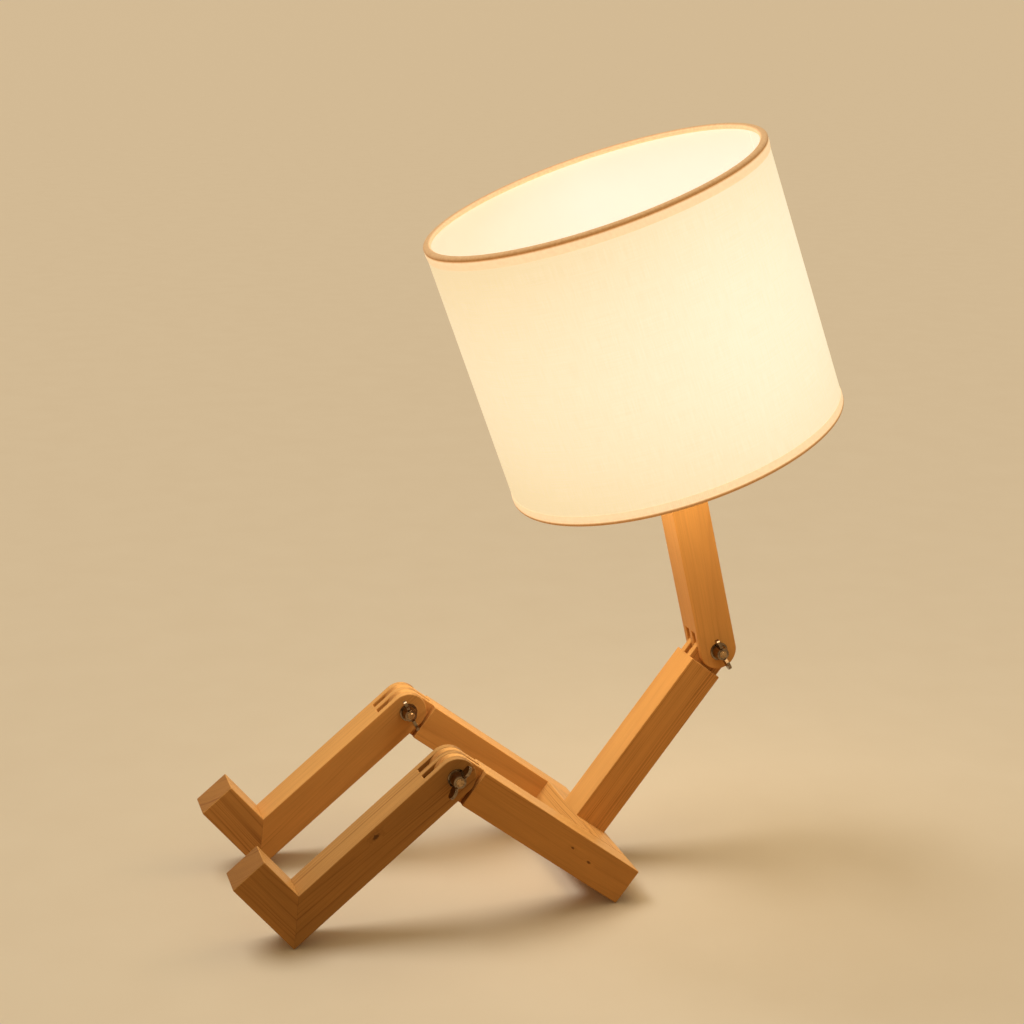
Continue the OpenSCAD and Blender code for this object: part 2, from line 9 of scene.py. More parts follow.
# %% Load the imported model
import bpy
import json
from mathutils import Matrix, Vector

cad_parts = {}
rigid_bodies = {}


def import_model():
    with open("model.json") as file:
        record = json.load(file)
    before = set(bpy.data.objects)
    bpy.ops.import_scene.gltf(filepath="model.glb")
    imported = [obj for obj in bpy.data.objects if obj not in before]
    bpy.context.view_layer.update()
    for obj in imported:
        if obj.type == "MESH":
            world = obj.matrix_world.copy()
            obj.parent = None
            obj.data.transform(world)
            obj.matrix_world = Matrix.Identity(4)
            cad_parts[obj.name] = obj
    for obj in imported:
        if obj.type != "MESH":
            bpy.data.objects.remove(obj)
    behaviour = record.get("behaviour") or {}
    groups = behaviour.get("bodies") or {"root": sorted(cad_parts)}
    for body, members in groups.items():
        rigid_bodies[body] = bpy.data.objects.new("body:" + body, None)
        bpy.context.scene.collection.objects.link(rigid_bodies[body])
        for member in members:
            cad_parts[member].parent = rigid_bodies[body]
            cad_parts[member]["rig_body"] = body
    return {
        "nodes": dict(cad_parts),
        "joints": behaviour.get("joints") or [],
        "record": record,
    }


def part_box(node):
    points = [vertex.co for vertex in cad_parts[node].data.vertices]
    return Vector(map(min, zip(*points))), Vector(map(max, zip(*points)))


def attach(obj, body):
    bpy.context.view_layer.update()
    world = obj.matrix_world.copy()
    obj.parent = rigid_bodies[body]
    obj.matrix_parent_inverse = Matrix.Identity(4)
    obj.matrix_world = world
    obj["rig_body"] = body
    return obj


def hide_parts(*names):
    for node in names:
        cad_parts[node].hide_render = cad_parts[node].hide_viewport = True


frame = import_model()
print("nodes in the packed model:", len(frame["nodes"]))

# %% [markdown]
# ## What the frame says
# Joints give the pivots, and mounts give the directions of the bars: the heels' soles face straight
# down the shins, the seat's end faces straight down the thighs, and the cord inlet is square to the
# neck.

# %% Measure the directions and pivots
import contextlib
import json
import math

import bmesh
import bpy
from mathutils import Matrix, Vector

MM = 0.001
ACROSS = Vector((1, 0, 0))

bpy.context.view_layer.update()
pivots = {joint["name"]: Vector(joint["pos_m"]) for joint in frame["joints"]}
mounts = {mount["name"]: mount for mount in frame["record"]["mounts"]}


def mount_place(name):
    return Vector(mounts[name]["pos_m"])


def mount_axis(name):
    return Vector(mounts[name]["axis"]).normalized()


def box_size(name):
    low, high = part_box(name)
    return high - low


def box_centre(name):
    low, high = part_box(name)
    return (low + high) / 2


knees = {"left": pivots["knee_left"], "right": pivots["knee_right"]}
neck_pivot = pivots["neck_tilt"]
down_shin = mount_axis("heel_face_left")
to_toes = -ACROSS.cross(down_shin)
down_thigh = mount_axis("seat_end")
out_of_seat = ACROSS.cross(down_thigh)
up_neck = ACROSS.cross(mount_axis("cord_inlet"))
up_shade = (box_centre("ring_top") - box_centre("ring_bottom")).normalized()

# %% [markdown]
# ## Lengths of the bars
# A bar's length is the distance along it from its pivot to its far end. The neck ends where its
# centre line meets the axis of the shade, which is found by solving for the crossing of two lines.

# %% Work out the lengths
bar_width = box_size("shin_left").x
half_bar = bar_width / 2
shin_length = (mount_place("heel_face_left") - knees["left"]).dot(down_shin)
thigh_length = (mount_place("seat_end") - knees["left"]).dot(down_thigh)
toe_corner_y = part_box("foot_left")[0].y
foot_reach = (toe_corner_y - knees["left"].y - shin_length * down_shin.y) / to_toes.y
hip_centre = box_centre("hip_block")
hip_width = box_size("hip_block").x
hip_length = (box_size("hip_block").y + bar_width * down_thigh.z) / down_thigh.y
torso_length = (neck_pivot - hip_centre).dot(out_of_seat) - half_bar


def crossing(start, along, other_start, other_along):
    """Distance along the first line to where it crosses the second, both in the Y-Z plane."""
    gap = other_start - start
    turn = along.y * other_along.z - along.z * other_along.y
    return (gap.y * other_along.z - gap.z * other_along.y) / turn


neck_length = crossing(neck_pivot, up_neck, box_centre("ring_top"), up_shade)
neck_top = neck_pivot + neck_length * up_neck
for label, length in (("shin", shin_length), ("thigh", thigh_length), ("foot", foot_reach + half_bar),
                      ("hip block", hip_length), ("torso", torso_length), ("neck", neck_length)):
    print(label, round(length / MM, 2), "mm")

# %% [markdown]
# ## Axes of a piece
# Every bar is modelled lying in its own axes, with +Z along the grain, and is then moved to its
# place. The same axes later turn the wood's growth rings with the bar. Finished pieces have their
# place in the mesh and an object at the origin, as the model's own pieces do.

# %% Helpers for axes and for what is selected
def axes(origin, along, side=ACROSS):
    """Axes with +Z along the piece and +X to the given side of it."""
    turn = Matrix((side, along.cross(side), along)).transposed()
    return Matrix.Translation(origin) @ turn.to_4x4()


def only(piece):
    """Makes a piece the only selected object, and the active one."""
    bpy.ops.object.select_all(action="DESELECT")
    piece.select_set(True)
    bpy.context.view_layer.objects.active = piece


def named(piece, name):
    """Gives a piece and its mesh their name."""
    piece.name = piece.data.name = name
    return piece


def added(name, primitive, **options):
    """Adds a primitive with nothing else selected, and names it."""
    bpy.ops.object.select_all(action="DESELECT")
    primitive(**options)
    return named(bpy.context.object, name)


def settle(piece, place=Matrix.Identity(4)):
    """Moves a piece to its place, and applies that to its mesh."""
    piece.matrix_world = place @ piece.matrix_basis
    only(piece)
    bpy.ops.object.transform_apply(location=True, rotation=True, scale=True)
    return piece


# %% [markdown]
# ## Working in edit mode from a script
# A script picks edges and faces by where they lie or which way they face, and the operators then act
# on what is picked, as they would by hand.

# %% Helpers for edit mode and modifiers
SHARP = math.radians(30)


@contextlib.contextmanager
def editing(piece, kind="EDGE", start="DESELECT"):
    """Edit mode on one piece, with nothing picked at first, or with all of it."""
    only(piece)
    bpy.ops.object.mode_set(mode="EDIT")
    bpy.ops.mesh.select_mode(type=kind)
    bpy.ops.mesh.select_all(action=start)
    yield
    bpy.ops.object.mode_set(mode="OBJECT")


def pick(piece, kind, wanted):
    """Picks each vertex, edge or face for which wanted() is true, and counts them."""
    shape = bmesh.from_edit_mesh(piece.data)
    shape.normal_update()
    chosen = [part for part in getattr(shape, kind) if wanted(part)]
    for part in chosen:
        part.select_set(True)
    shape.select_flush_mode()
    bmesh.update_edit_mesh(piece.data)
    return len(chosen)


def middle(edge):
    return (edge.verts[0].co + edge.verts[1].co) / 2


def is_arris(edge):
    """True for an edge that stands out and is sharp enough to be eased."""
    return edge.is_convex and edge.calc_face_angle(0) > SHARP


def modified(piece, kind, **settings):
    """Adds a modifier with these settings and applies it at once."""
    only(piece)
    modifier = piece.modifiers.new(kind.lower(), kind)
    for setting, value in settings.items():
        setattr(modifier, setting, value)
    bpy.ops.object.modifier_apply(modifier=modifier.name)
    return piece


def combine(piece, other, operation="DIFFERENCE"):
    """Cuts the other shape out of the piece, or unites them, and throws the other away."""
    modified(piece, "BOOLEAN", object=other, operation=operation, solver="EXACT")
    bpy.data.objects.remove(other)
    return piece


def smooth(piece, angle=40):
    """Shades curves smoothly, and keeps the flat faces flat up to their eased edges."""
    only(piece)
    bpy.ops.object.shade_smooth_by_angle(angle=math.radians(angle))
    return modified(piece, "WEIGHTED_NORMAL", keep_sharp=True)


# %% [markdown]
# ## Square bars with a round end
# Six of the nine bars are hinged on a bolt, and their ends are rounded about it. A cylinder joined to
# a box would leave a seam, so a box that reaches past the pivot has its two end edges bevelled by
# half the bar's width, which turns the whole end into one half round.

# %% Model a bar with a round end
ROUND_SEGMENTS = 20
TOUCHING = 0.01 * MM


def block(name, size, centre=(0, 0, 0), turn=0):
    """A box of the given size about its centre, turned about Z."""
    piece = added(name, bpy.ops.mesh.primitive_cube_add, size=1, location=centre,
                  rotation=(0, 0, turn))
    piece.scale = size
    return settle(piece)


def round_ended_bar(name, length):
    """A bar along +Z, whose end is a half round about the origin."""
    bar = block(name, (bar_width, bar_width, length + half_bar), (0, 0, (length - half_bar) / 2))
    with editing(bar):
        pick(bar, "edges", lambda edge: middle(edge).z < TOUCHING - half_bar
             and abs(middle(edge).x) < TOUCHING)
        bpy.ops.mesh.bevel(offset=half_bar, segments=ROUND_SEGMENTS, affect="EDGES")
        bpy.ops.mesh.select_all(action="SELECT")
        bpy.ops.mesh.remove_doubles(threshold=TOUCHING)
    return bar


# %% [markdown]
# ## Fingers and the bolt's hole
# A hinge is five layers thick. Shins and neck keep the outer and the middle layer, thighs and torso
# keep the two between. A little play beside each finger lets the hinge turn.

# %% Cut the fingers
LAYERS = 5
FINGER_PLAY = 0.1 * MM
SLOT_DEPTH = half_bar + 2.5 * MM
SHOULDER_DEPTH = half_bar + 1.5 * MM
HOLE_RADIUS = 2.55 * MM
DRILL_SIDES = 48
PAST = 2 * MM
finger = bar_width / LAYERS


def clear_layer(bar, centre, thickness, depth):
    """Saws one layer away, from the round end to the given depth past the pivot."""
    height = depth + half_bar + PAST
    return combine(bar, block("cutter", (thickness, bar_width + PAST, height),
                              (centre, 0, depth - height / 2)))


def drill(piece, radius, place=(0, 0, 0), turn=(0, math.pi / 2, 0), depth=2 * bar_width):
    """Drills a round hole, across the piece unless it is turned otherwise."""
    cutter = added("cutter", bpy.ops.mesh.primitive_cylinder_add, vertices=DRILL_SIDES,
                   radius=radius, depth=depth, location=place, rotation=turn)
    return combine(piece, settle(cutter))


def three_fingers(bar):
    for side in (-1, 1):
        clear_layer(bar, side * finger, finger + 2 * FINGER_PLAY, SLOT_DEPTH)
    return drill(bar, HOLE_RADIUS)


def two_fingers(bar):
    for side in (-1, 1):
        clear_layer(bar, side * (half_bar + finger), 4 * finger, SHOULDER_DEPTH)
    clear_layer(bar, 0, finger, SHOULDER_DEPTH)
    return drill(bar, HOLE_RADIUS)


# %% [markdown]
# ## Eased edges
# No sanded bar has a knife edge. Every outer edge is bevelled, so that it catches a thin line of
# light, and the edges of the bolt's hole are left alone. Where two pieces are glued, the edges stay
# nearly sharp, which leaves only a hairline at the joint.

# %% Ease and saw
EASE = 0.7 * MM
GLUE_LINE = 0.12 * MM
CLEAR_OF_HOLE = 1.2 * HOLE_RADIUS


def ease(bar, wanted=lambda edge: True):
    """Rounds the sharp outer edges of a bar, except round the bolt's hole, and counts them."""
    with editing(bar):
        count = pick(bar, "edges", lambda edge: is_arris(edge) and wanted(edge)
                     and math.hypot(middle(edge).y, middle(edge).z) > CLEAR_OF_HOLE)
        bpy.ops.mesh.bevel(offset=EASE, segments=3, affect="EDGES", clamp_overlap=True)
    return count


def saw(bar, point, normal):
    """Saws a bar along a plane, and keeps the side that the normal points away from."""
    point, normal = Vector(point), Vector(normal).normalized()
    with editing(bar, "VERT", "SELECT"):
        bpy.ops.mesh.bisect(plane_co=point, plane_no=normal, use_fill=True, clear_outer=True)
        bpy.ops.mesh.select_mode(type="EDGE")
        bpy.ops.mesh.select_all(action="DESELECT")
        pick(bar, "edges", lambda edge: all(abs((vert.co - point).dot(normal)) < TOUCHING
                                            for vert in edge.verts))
        bpy.ops.mesh.bevel(offset=GLUE_LINE, segments=1, affect="EDGES")
    return bar


# %% [markdown]
# ## Thighs and torso
# These three bars end square. The torso stands on the hip block, so its lower edges are glued ones.

# %% Make the thighs and the torso
bars = {}
bar_axes = {f"{side}_thigh": axes(pivot, down_thigh) for side, pivot in knees.items()}
bar_axes["torso_bar"] = axes(neck_pivot, -out_of_seat)


def two_finger_bar(name, length, glued_end):
    bar = two_fingers(round_ended_bar(name, length))
    end = length - EASE / 2
    count = ease(bar, wanted=lambda edge: not (glued_end and middle(edge).z > end))
    if glued_end:
        saw(bar, (0, 0, length - GLUE_LINE / 10), (0, 0, 1))
    print(name, "has", count, "eased edges")
    return bar


for name in ("left_thigh", "right_thigh"):
    bars[name] = two_finger_bar(name, thigh_length, glued_end=False)
bars["torso_bar"] = two_finger_bar("torso_bar", torso_length, glued_end=True)

# %% [markdown]
# ## Shins and feet
# A shin and its foot meet in a mitre at the heel, like the corner of a picture frame. Both are sawn
# by the same plane, which halves the angle between them. The foot's own +Z runs from the heel's back
# to the toes, and its +Y up the shin.

# %% Make the shins and the feet
foot_length = foot_reach + half_bar
mitre_height = shin_length - half_bar
for side, pivot in knees.items():
    shin_name, foot_name = f"{side}_shin", f"{side}_foot"
    bar_axes[shin_name] = axes(pivot, down_shin)
    bar_axes[foot_name] = axes(pivot + mitre_height * down_shin - half_bar * to_toes, to_toes)
    shin = three_fingers(round_ended_bar(shin_name, shin_length))
    foot = block(foot_name, (bar_width, bar_width, foot_length), (0, 0, foot_length / 2))
    for bar in (shin, foot):
        print(bar.name, "has", ease(bar), "eased edges")
    bars[shin_name] = saw(shin, (0, 0, mitre_height), (0, 1, 1))
    bars[foot_name] = saw(foot, (0, 0, half_bar), (0, 1, -1))

# %% [markdown]
# ## Neck
# The neck's top is sawn square to the shade, a few degrees off square to the bar, so that the
# lampholder stands on it. The mains lead would enter by the bush in the back face.

# %% Make the neck
BUSH_HOLE = 4.55 * MM
bar_axes["neck_bar"] = axes(neck_pivot, up_neck)
to_neck_axes = bar_axes["neck_bar"].inverted()
inlet_place = to_neck_axes @ mount_place("cord_inlet")

neck_bar = three_fingers(round_ended_bar("neck_bar", neck_length + half_bar))
print("neck_bar has", ease(neck_bar), "eased edges")
saw(neck_bar, (0, 0, neck_length), to_neck_axes.to_3x3() @ up_shade)
bars["neck_bar"] = drill(neck_bar, BUSH_HOLE, place=(0, half_bar, inlet_place.z),
                         turn=(math.pi / 2, 0, 0), depth=bar_width)

# %% [markdown]
# ## Hip block
# The block's grain runs across the lamp, from thigh to thigh. Its own +Z therefore points across too,
# its +X down the thighs and its +Y out of the seat. Two countersunk holes take the torso's screws.

# %% Make the hip block
SCREW_HEAD_RADIUS = 4.05 * MM
SCREW_RADIUS = 2.05 * MM
SCREW_SINK = 1 * MM
SCREW_HEAD_HEIGHT = 2 * MM
SCREW_SPREAD = 6 * MM

bar_axes["hip_cross_block"] = axes(hip_centre, ACROSS, down_thigh)
hip = block("hip_cross_block", (hip_length, bar_width, hip_width))
with editing(hip):
    count = pick(hip, "edges", lambda edge: abs(middle(edge).z) < hip_width / 4)
    bpy.ops.mesh.bevel(offset=EASE / 2, segments=2, affect="EDGES")
screw_x = (box_centre("torso_screws") - hip_centre).dot(down_thigh)
for side in (-1, 1):
    place = Vector((screw_x, -half_bar, side * SCREW_SPREAD))
    drill(hip, SCREW_HEAD_RADIUS, place=place, turn=(math.pi / 2, 0, 0), depth=2 * SCREW_SINK)
    countersink = added("cutter", bpy.ops.mesh.primitive_cone_add, vertices=DRILL_SIDES,
                        radius1=SCREW_HEAD_RADIUS, radius2=SCREW_RADIUS, depth=SCREW_HEAD_HEIGHT,
                        rotation=(-math.pi / 2, 0, 0),
                        location=place + Vector((0, SCREW_SINK + SCREW_HEAD_HEIGHT / 2, 0)))
    combine(hip, settle(countersink))
bars["hip_cross_block"] = hip
print("hip_cross_block has", count, "eased edges")

# %% [markdown]
# ## Bars to their places
# Each bar goes to its own axes and stands for the plain one in the model. It rides on the body that
# the plain one belongs to, so that it swings with its joint.

# %% Place the bars
stands_for = {
    "left_thigh": "thigh_left", "right_thigh": "thigh_right", "torso_bar": "torso",
    "hip_cross_block": "hip_block", "left_shin": "shin_left", "right_shin": "shin_right",
    "left_foot": "foot_left", "right_foot": "foot_right", "neck_bar": "neck",
}


def finished(piece, place, node, angle=40):
    """Settles and smooths a piece, and lets it ride on the body of the node it stands for."""
    settle(piece, place)
    smooth(piece, angle)
    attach(piece, frame["nodes"][node]["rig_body"])
    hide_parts(node)
    print(piece.name, "for", node, "has", len(piece.data.polygons), "faces")


for name, bar in bars.items():
    finished(bar, bar_axes[name], stands_for[name])

# %% [markdown]
# ## Turned pieces
# Bolt heads, washers, the lampholder and the hems are round. A single vertex is extruded from point
# to point along the outline, and the outline is then spun about the axis, as a lathe would turn it.

# %% Draw and turn an outline
def traced(name, points):
    """A line through points in millimetres, drawn by extruding a single vertex."""
    piece = added(name, bpy.ops.mesh.primitive_plane_add, size=MM)
    with editing(piece, "VERT", "SELECT"):
        bpy.ops.mesh.merge(type="CENTER")
        bpy.ops.transform.translate(value=[value * MM for value in points[0]])
        for start, end in zip(points, points[1:]):
            step = [(second - first) * MM for first, second in zip(start, end)]
            bpy.ops.mesh.extrude_region_move(TRANSFORM_OT_translate={"value": step})
    return piece


def face_outwards():
    """Turns all faces of the piece in edit mode outwards."""
    bpy.ops.mesh.select_all(action="SELECT")
    bpy.ops.mesh.normals_make_consistent(inside=False)


def turned(name, outline, steps=96):
    """Spins an outline of (radius, height) points in millimetres about the Z axis."""
    piece = traced(name, [(radius, 0, height) for radius, height in outline])
    with editing(piece, "VERT", "SELECT"):
        bpy.ops.mesh.spin(steps=steps, angle=2 * math.pi, center=(0, 0, 0), axis=(0, 0, 1))
        bpy.ops.mesh.select_all(action="SELECT")
        bpy.ops.mesh.remove_doubles(threshold=TOUCHING / 10)
        face_outwards()
    return piece


def rounded(piece, width, segments=2, least=30):
    """Bevels the edges that are sharper than the least angle by a width in millimetres."""
    return modified(piece, "BEVEL", width=width * MM, segments=segments, limit_method="ANGLE",
                    angle_limit=math.radians(least))


def arc(centre, radius, first, last, points):
    """Points of an arc, as (radius, height) pairs in millimetres, with angles in degrees."""
    turns = (math.radians(first + (last - first) * i / (points - 1)) for i in range(points))
    return [(centre[0] + radius * math.cos(turn), centre[1] + radius * math.sin(turn))
            for turn in turns]


# %% [markdown]
# ## Washers
# Each hinge has a washer under the bolt's head and one under the wing nut. They are stamped from
# sheet, so their rims are slightly round. One pair is turned and joined, and each hinge gets a copy.

# %% Make the washers
HOLE = HOLE_RADIUS / MM
hinges = {"left_knee": ("knee_{}_left", knees["left"]),
          "right_knee": ("knee_{}_right", knees["right"]), "neck": ("neck_{}", neck_pivot)}
washer_box = box_size("neck_washers") / MM
inner, outer, washer_radius = half_bar / MM, washer_box.x / 2, washer_box.z / 2


def bolt_axes(pivot, turn=0):
    """Axes with +Z along the bolt towards its nut, turned about the bolt."""
    along = Matrix.Rotation(turn, 4, "X") @ Matrix.Rotation(math.pi / 2, 4, "Y")
    return Matrix.Translation(pivot) @ along


def fit_to_hinges(piece, kind, part, angle=40, place=lambda pivot, node: bolt_axes(pivot)):
    """Gives each hinge a copy of the piece with a mesh of its own, and removes the piece."""
    for hinge, (node, pivot) in hinges.items():
        copy = piece.copy()
        copy.data = piece.data.copy()
        bpy.context.scene.collection.objects.link(copy)
        node = node.format(part)
        finished(named(copy, f"{hinge}_{kind}"), place(pivot, node), node, angle)
    bpy.data.objects.remove(piece)


def washer(low, high):
    return rounded(turned("washer", [(HOLE, low), (washer_radius, low), (washer_radius, high),
                                     (HOLE, high), (HOLE, low)]), 0.2)


pair = [washer(inner, outer), washer(-outer, -inner)]
only(pair[0])
pair[1].select_set(True)
bpy.ops.object.join()
fit_to_hinges(pair[0], "washer_pair", "washers")

# %% [markdown]
# ## Bolts
# A bolt is a domed head, a plain shank in the wood and a thread that carries the nut. The head and
# the shank are turned. The thread is a small triangle that the Screw modifier winds round the core,
# one turn for each pitch, and it is united with the core so that the bolt is one solid. A shallow
# cross in the head takes the screwdriver. The three bolts measure the same, so one is modelled, and
# each hinge gets a copy.

# %% Make the bolts
BOLT_RADIUS = 2.5
THREAD_PITCH = 0.8
THREAD_TURNS = 11
CORE_RADIUS = 2.1
TIP_BEVEL = 0.4
RIDGE = 0.45
CROSS_LENGTH = 5.2
CROSS_WIDTH = 1.1
CROSS_DEPTH = 1.3


def thread(low):
    """A ridge that winds up the Z axis from the given height."""
    ridge = added("thread", bpy.ops.mesh.primitive_circle_add, vertices=3, radius=RIDGE * MM,
                  location=((BOLT_RADIUS - RIDGE) * MM, 0, low * MM),
                  rotation=(math.pi / 2, math.pi / 2, 0))
    settle(ridge)
    modified(ridge, "SCREW", axis="Z", angle=2 * math.pi, screw_offset=THREAD_PITCH * MM,
             iterations=THREAD_TURNS, steps=24, render_steps=24, use_merge_vertices=False)
    with editing(ridge):
        bpy.ops.mesh.select_non_manifold()
        bpy.ops.mesh.fill_holes(sides=3)
        face_outwards()
    return ridge


def bolt(head_low, head_high, head_radius, tip):
    """A bolt along Z, with its head below and its thread up to the tip, in millimetres."""
    head_height = head_high - head_low
    dome = (head_radius ** 2 + head_height ** 2) / (2 * head_height)
    rim = math.degrees(math.asin((head_height - dome) / dome))
    thread_low = tip - (THREAD_TURNS + 1) * THREAD_PITCH
    outline = arc((0, head_low + dome), dome, -90, rim, 10) + [
        (BOLT_RADIUS, head_high), (BOLT_RADIUS, thread_low), (CORE_RADIUS, thread_low),
        (CORE_RADIUS, tip - TIP_BEVEL), (CORE_RADIUS - TIP_BEVEL, tip), (0, tip)]
    made = combine(turned("bolt", outline, steps=48), thread(thread_low), "UNION")
    cross = (CROSS_LENGTH * MM, CROSS_WIDTH * MM, 2 * CROSS_DEPTH * MM)
    for turn in (0, math.pi / 2):
        combine(made, block("cutter", cross, (0, 0, head_low * MM), turn))
    return made


for hinge, (node, pivot) in hinges.items():
    low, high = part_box(node.format("bolt"))
    head_low, tip = (low.x - pivot.x) / MM, (high.x - pivot.x) / MM
    print(hinge, "bolt from", round(head_low, 2), "to", round(tip, 2), "mm")
fit_to_hinges(bolt(head_low, -outer, (high.z - low.z) / 2 / MM, tip), "hinge_bolt", "bolt",
              angle=35)

# %% [markdown]
# ## Wing nuts
# A wing nut is cast: a conical hub with two ears that lean outwards. The outline of an ear is drawn
# vertex by vertex, filled, and extruded to its thickness. Hub and ears are united, and a bevel round
# every edge gives the soft look of a casting, with fillets where the ears grow out of the hub. One
# nut is modelled, and each copy of it is turned as the model's own nut stands.

# %% Make a wing nut and its copies
NUT_FOOT_RADIUS = 5
NUT_TOP_RADIUS = 4
NUT_HUB = 6.5
EAR_RADIUS = 3.5
EAR_PLACE = (8, 6.5)
EAR_THICK = 2
EAR_ROOT = HOLE + 0.6
EAR_OUTLINE = ([(EAR_ROOT, 0.8)] + arc(EAR_PLACE, EAR_RADIUS, -45, 135, 15)
               + [(EAR_ROOT, NUT_HUB - 0.3)])


def ear(side):
    """An ear to the given side along Y, as a plate with its middle on X = 0."""
    plate = traced("ear", [(-EAR_THICK / 2, side * y, z) for y, z in EAR_OUTLINE])
    with editing(plate, "VERT", "SELECT"):
        bpy.ops.mesh.edge_face_add()
        bpy.ops.mesh.extrude_region_move(TRANSFORM_OT_translate={"value": (EAR_THICK * MM, 0, 0)})
        face_outwards()
    return plate


def standing_turn(node, pivot):
    """How far a nut of the model is turned about its bolt, from the direction of its ears."""
    points = [vert.co - pivot for vert in frame["nodes"][node].data.vertices]
    along = sum(point.y ** 2 - point.z ** 2 for point in points)
    slant = sum(2 * point.y * point.z for point in points)
    return math.atan2(slant, along) / 2


nut = turned("wing_nut", [(HOLE, 0), (NUT_FOOT_RADIUS, 0), (NUT_TOP_RADIUS, NUT_HUB),
                          (HOLE, NUT_HUB), (HOLE, 0)], steps=48)
for side in (1, -1):
    combine(nut, ear(side), "UNION")
rounded(nut, 0.4, segments=3, least=35)
fit_to_hinges(nut, "nut", "wing_nut", angle=50, place=lambda pivot, node: bolt_axes(
    pivot + outer * MM * ACROSS, standing_turn(node, pivot)))

# %% [markdown]
# ## The drum
# The shade is a strip of white fabric laminated on a stiff translucent liner, rolled into a drum and
# glued along a lap at the back. An open cylinder gives the sheet, with a UV map that runs round and
# up it for the weave. The lap is raised a little, and Solidify gives the laminate its thickness. No
# cloth simulation is used, because the laminate is stiff.

# %% Make the drum
DRUM_SIDES = 192
DRUM_WALL = 0.8
DRUM_PAST_WIRE = 0.2
LAP_ANGLE = 4
LAP_THICK = 0.18
shade_axes = axes(neck_top, up_shade)


def shade_height(name):
    """Height of a node's middle along the shade's axis, in millimetres above the neck's end."""
    return (box_centre(name) - neck_top).dot(up_shade) / MM


low_wire, high_wire = shade_height("ring_bottom"), shade_height("ring_top")
mid_height = (low_wire + high_wire) / 2
drum_height = high_wire - low_wire + 2 * DRUM_PAST_WIRE
drum_radius = box_size("shade_drum").x / 2 / MM
drum = added("fabric_drum", bpy.ops.mesh.primitive_cylinder_add, vertices=DRUM_SIDES,
             radius=drum_radius * MM, depth=drum_height * MM, end_fill_type="NOTHING",
             location=(0, 0, mid_height * MM))
settle(drum)
half_lap = math.radians(LAP_ANGLE / 2)
with editing(drum, "FACE"):
    lap_faces = pick(drum, "faces", lambda face: abs(math.atan2(
        face.calc_center_median().x, face.calc_center_median().y)) < half_lap)
    bpy.ops.mesh.extrude_region_shrink_fatten(TRANSFORM_OT_shrink_fatten={"value": LAP_THICK * MM})
modified(drum, "SOLIDIFY", thickness=DRUM_WALL * MM, offset=-1, use_even_offset=True)
finished(drum, shade_axes, "shade_drum", angle=25)
print("drum", round(drum_height, 1), "mm high, lap of", lap_faces, "faces,",
      round(2 * math.pi * drum_radius), "mm round")

# %% [markdown]
# ## Rolled hems
# A narrow woven tape is glued round the outside of the drum, rolled over the wire and tucked in
# behind it. The roll is pressed flat on the wire, and the edge of the band thins out on the drum. The
# tape's outline is one path: up the band, round the wire, and back inside it. It is turned like the
# pieces above, and the lower hem mirrors the upper one.

# %% Make the hems
TAPE = 0.3
TAPE_GAP = 0.02
BAND_TAPER = 3
ROLL_RADIUS = 2.5
ROLL_RISE = 1.85
ROLL_FROM, ROLL_TO = -35, 285
roll_centre = box_size("hem_top").x / 2 / MM - ROLL_RADIUS
band_in = drum_radius + TAPE_GAP
band_out = drum_radius + LAP_THICK + TAPE


def hem(name, wire_height, up, band):
    """Tape round the rim at the given height, with its band on the side away from up."""
    roll = arc((roll_centre, 0), ROLL_RADIUS, ROLL_FROM, ROLL_TO, 36)
    lining = arc((roll_centre, 0), ROLL_RADIUS - TAPE, ROLL_TO, ROLL_FROM, 28)
    path = [(band_in + TAPE / 3, -band), (band_out, BAND_TAPER - band), (band_out, -ROLL_RISE)]
    path += [(radius, ROLL_RISE / ROLL_RADIUS * height) for radius, height in roll + lining]
    path += [(band_in, -ROLL_RISE), (band_in, -band), path[0]]
    return turned(name, [(radius, wire_height + up * height) for radius, height in path],
                  steps=DRUM_SIDES)


finished(hem("upper_hem", high_wire, 1, band=6.4), shade_axes, "hem_top")
finished(hem("lower_hem", low_wire, -1, band=5.5), shade_axes, "hem_bottom")

# %% [markdown]
# ## Lampholder
# The holder stands on the neck inside the shade: a cap screwed to the bar, a skirt with a coarse
# outer thread, and a notched ring nut that clamps the shade's fitter on the skirt's shoulder. All
# are turned parts. The notches are then cut round the nut's flange.

# %% Make the cap, the skirt and the ring nut
SKIRT_RADIUS = 19.75
CAP_OUTLINE = [(5.05, 0), (15, 0), (16.6, 3.5), (SKIRT_RADIUS, 14), (SKIRT_RADIUS, 16), (17.4, 16),
               (17.4, 14), (15.4, 14), (15.4, 12), (13, 2), (5.05, 2), (5.05, 0)]
THREAD_FROM, THREAD_TO = 28, 46
THREADS = 6
THREAD_DEPTH = 0.7
ONE_THREAD = [(0, 0), (0, 0.35), (THREAD_DEPTH, 0.6), (THREAD_DEPTH, 0.8)]
holder_pitch = (THREAD_TO - THREAD_FROM) / THREADS
holder_thread = [(SKIRT_RADIUS - depth, THREAD_FROM + (i + share) * holder_pitch)
                 for i in range(THREADS) for depth, share in ONE_THREAD]
SKIRT_OUTLINE = ([(17.4, 16), (22.5, 16), (22.5, 19), (SKIRT_RADIUS, 19)] + holder_thread
                 + [(SKIRT_RADIUS, THREAD_TO), (SKIRT_RADIUS, 50), (14.25, 50), (14.25, 48),
                    (17.4, 48), (17.4, 16)])
NUT_SEAT = 20.5
NUT_RADIUS = 29
NUT_OUTLINE = [(20, NUT_SEAT), (NUT_RADIUS, NUT_SEAT), (NUT_RADIUS, 22.9), (23.55, 23.3),
               (22.75, 27.5), (20, 27.5), (20, NUT_SEAT)]
NOTCHES = 12
NOTCH_RADIUS = 2.5
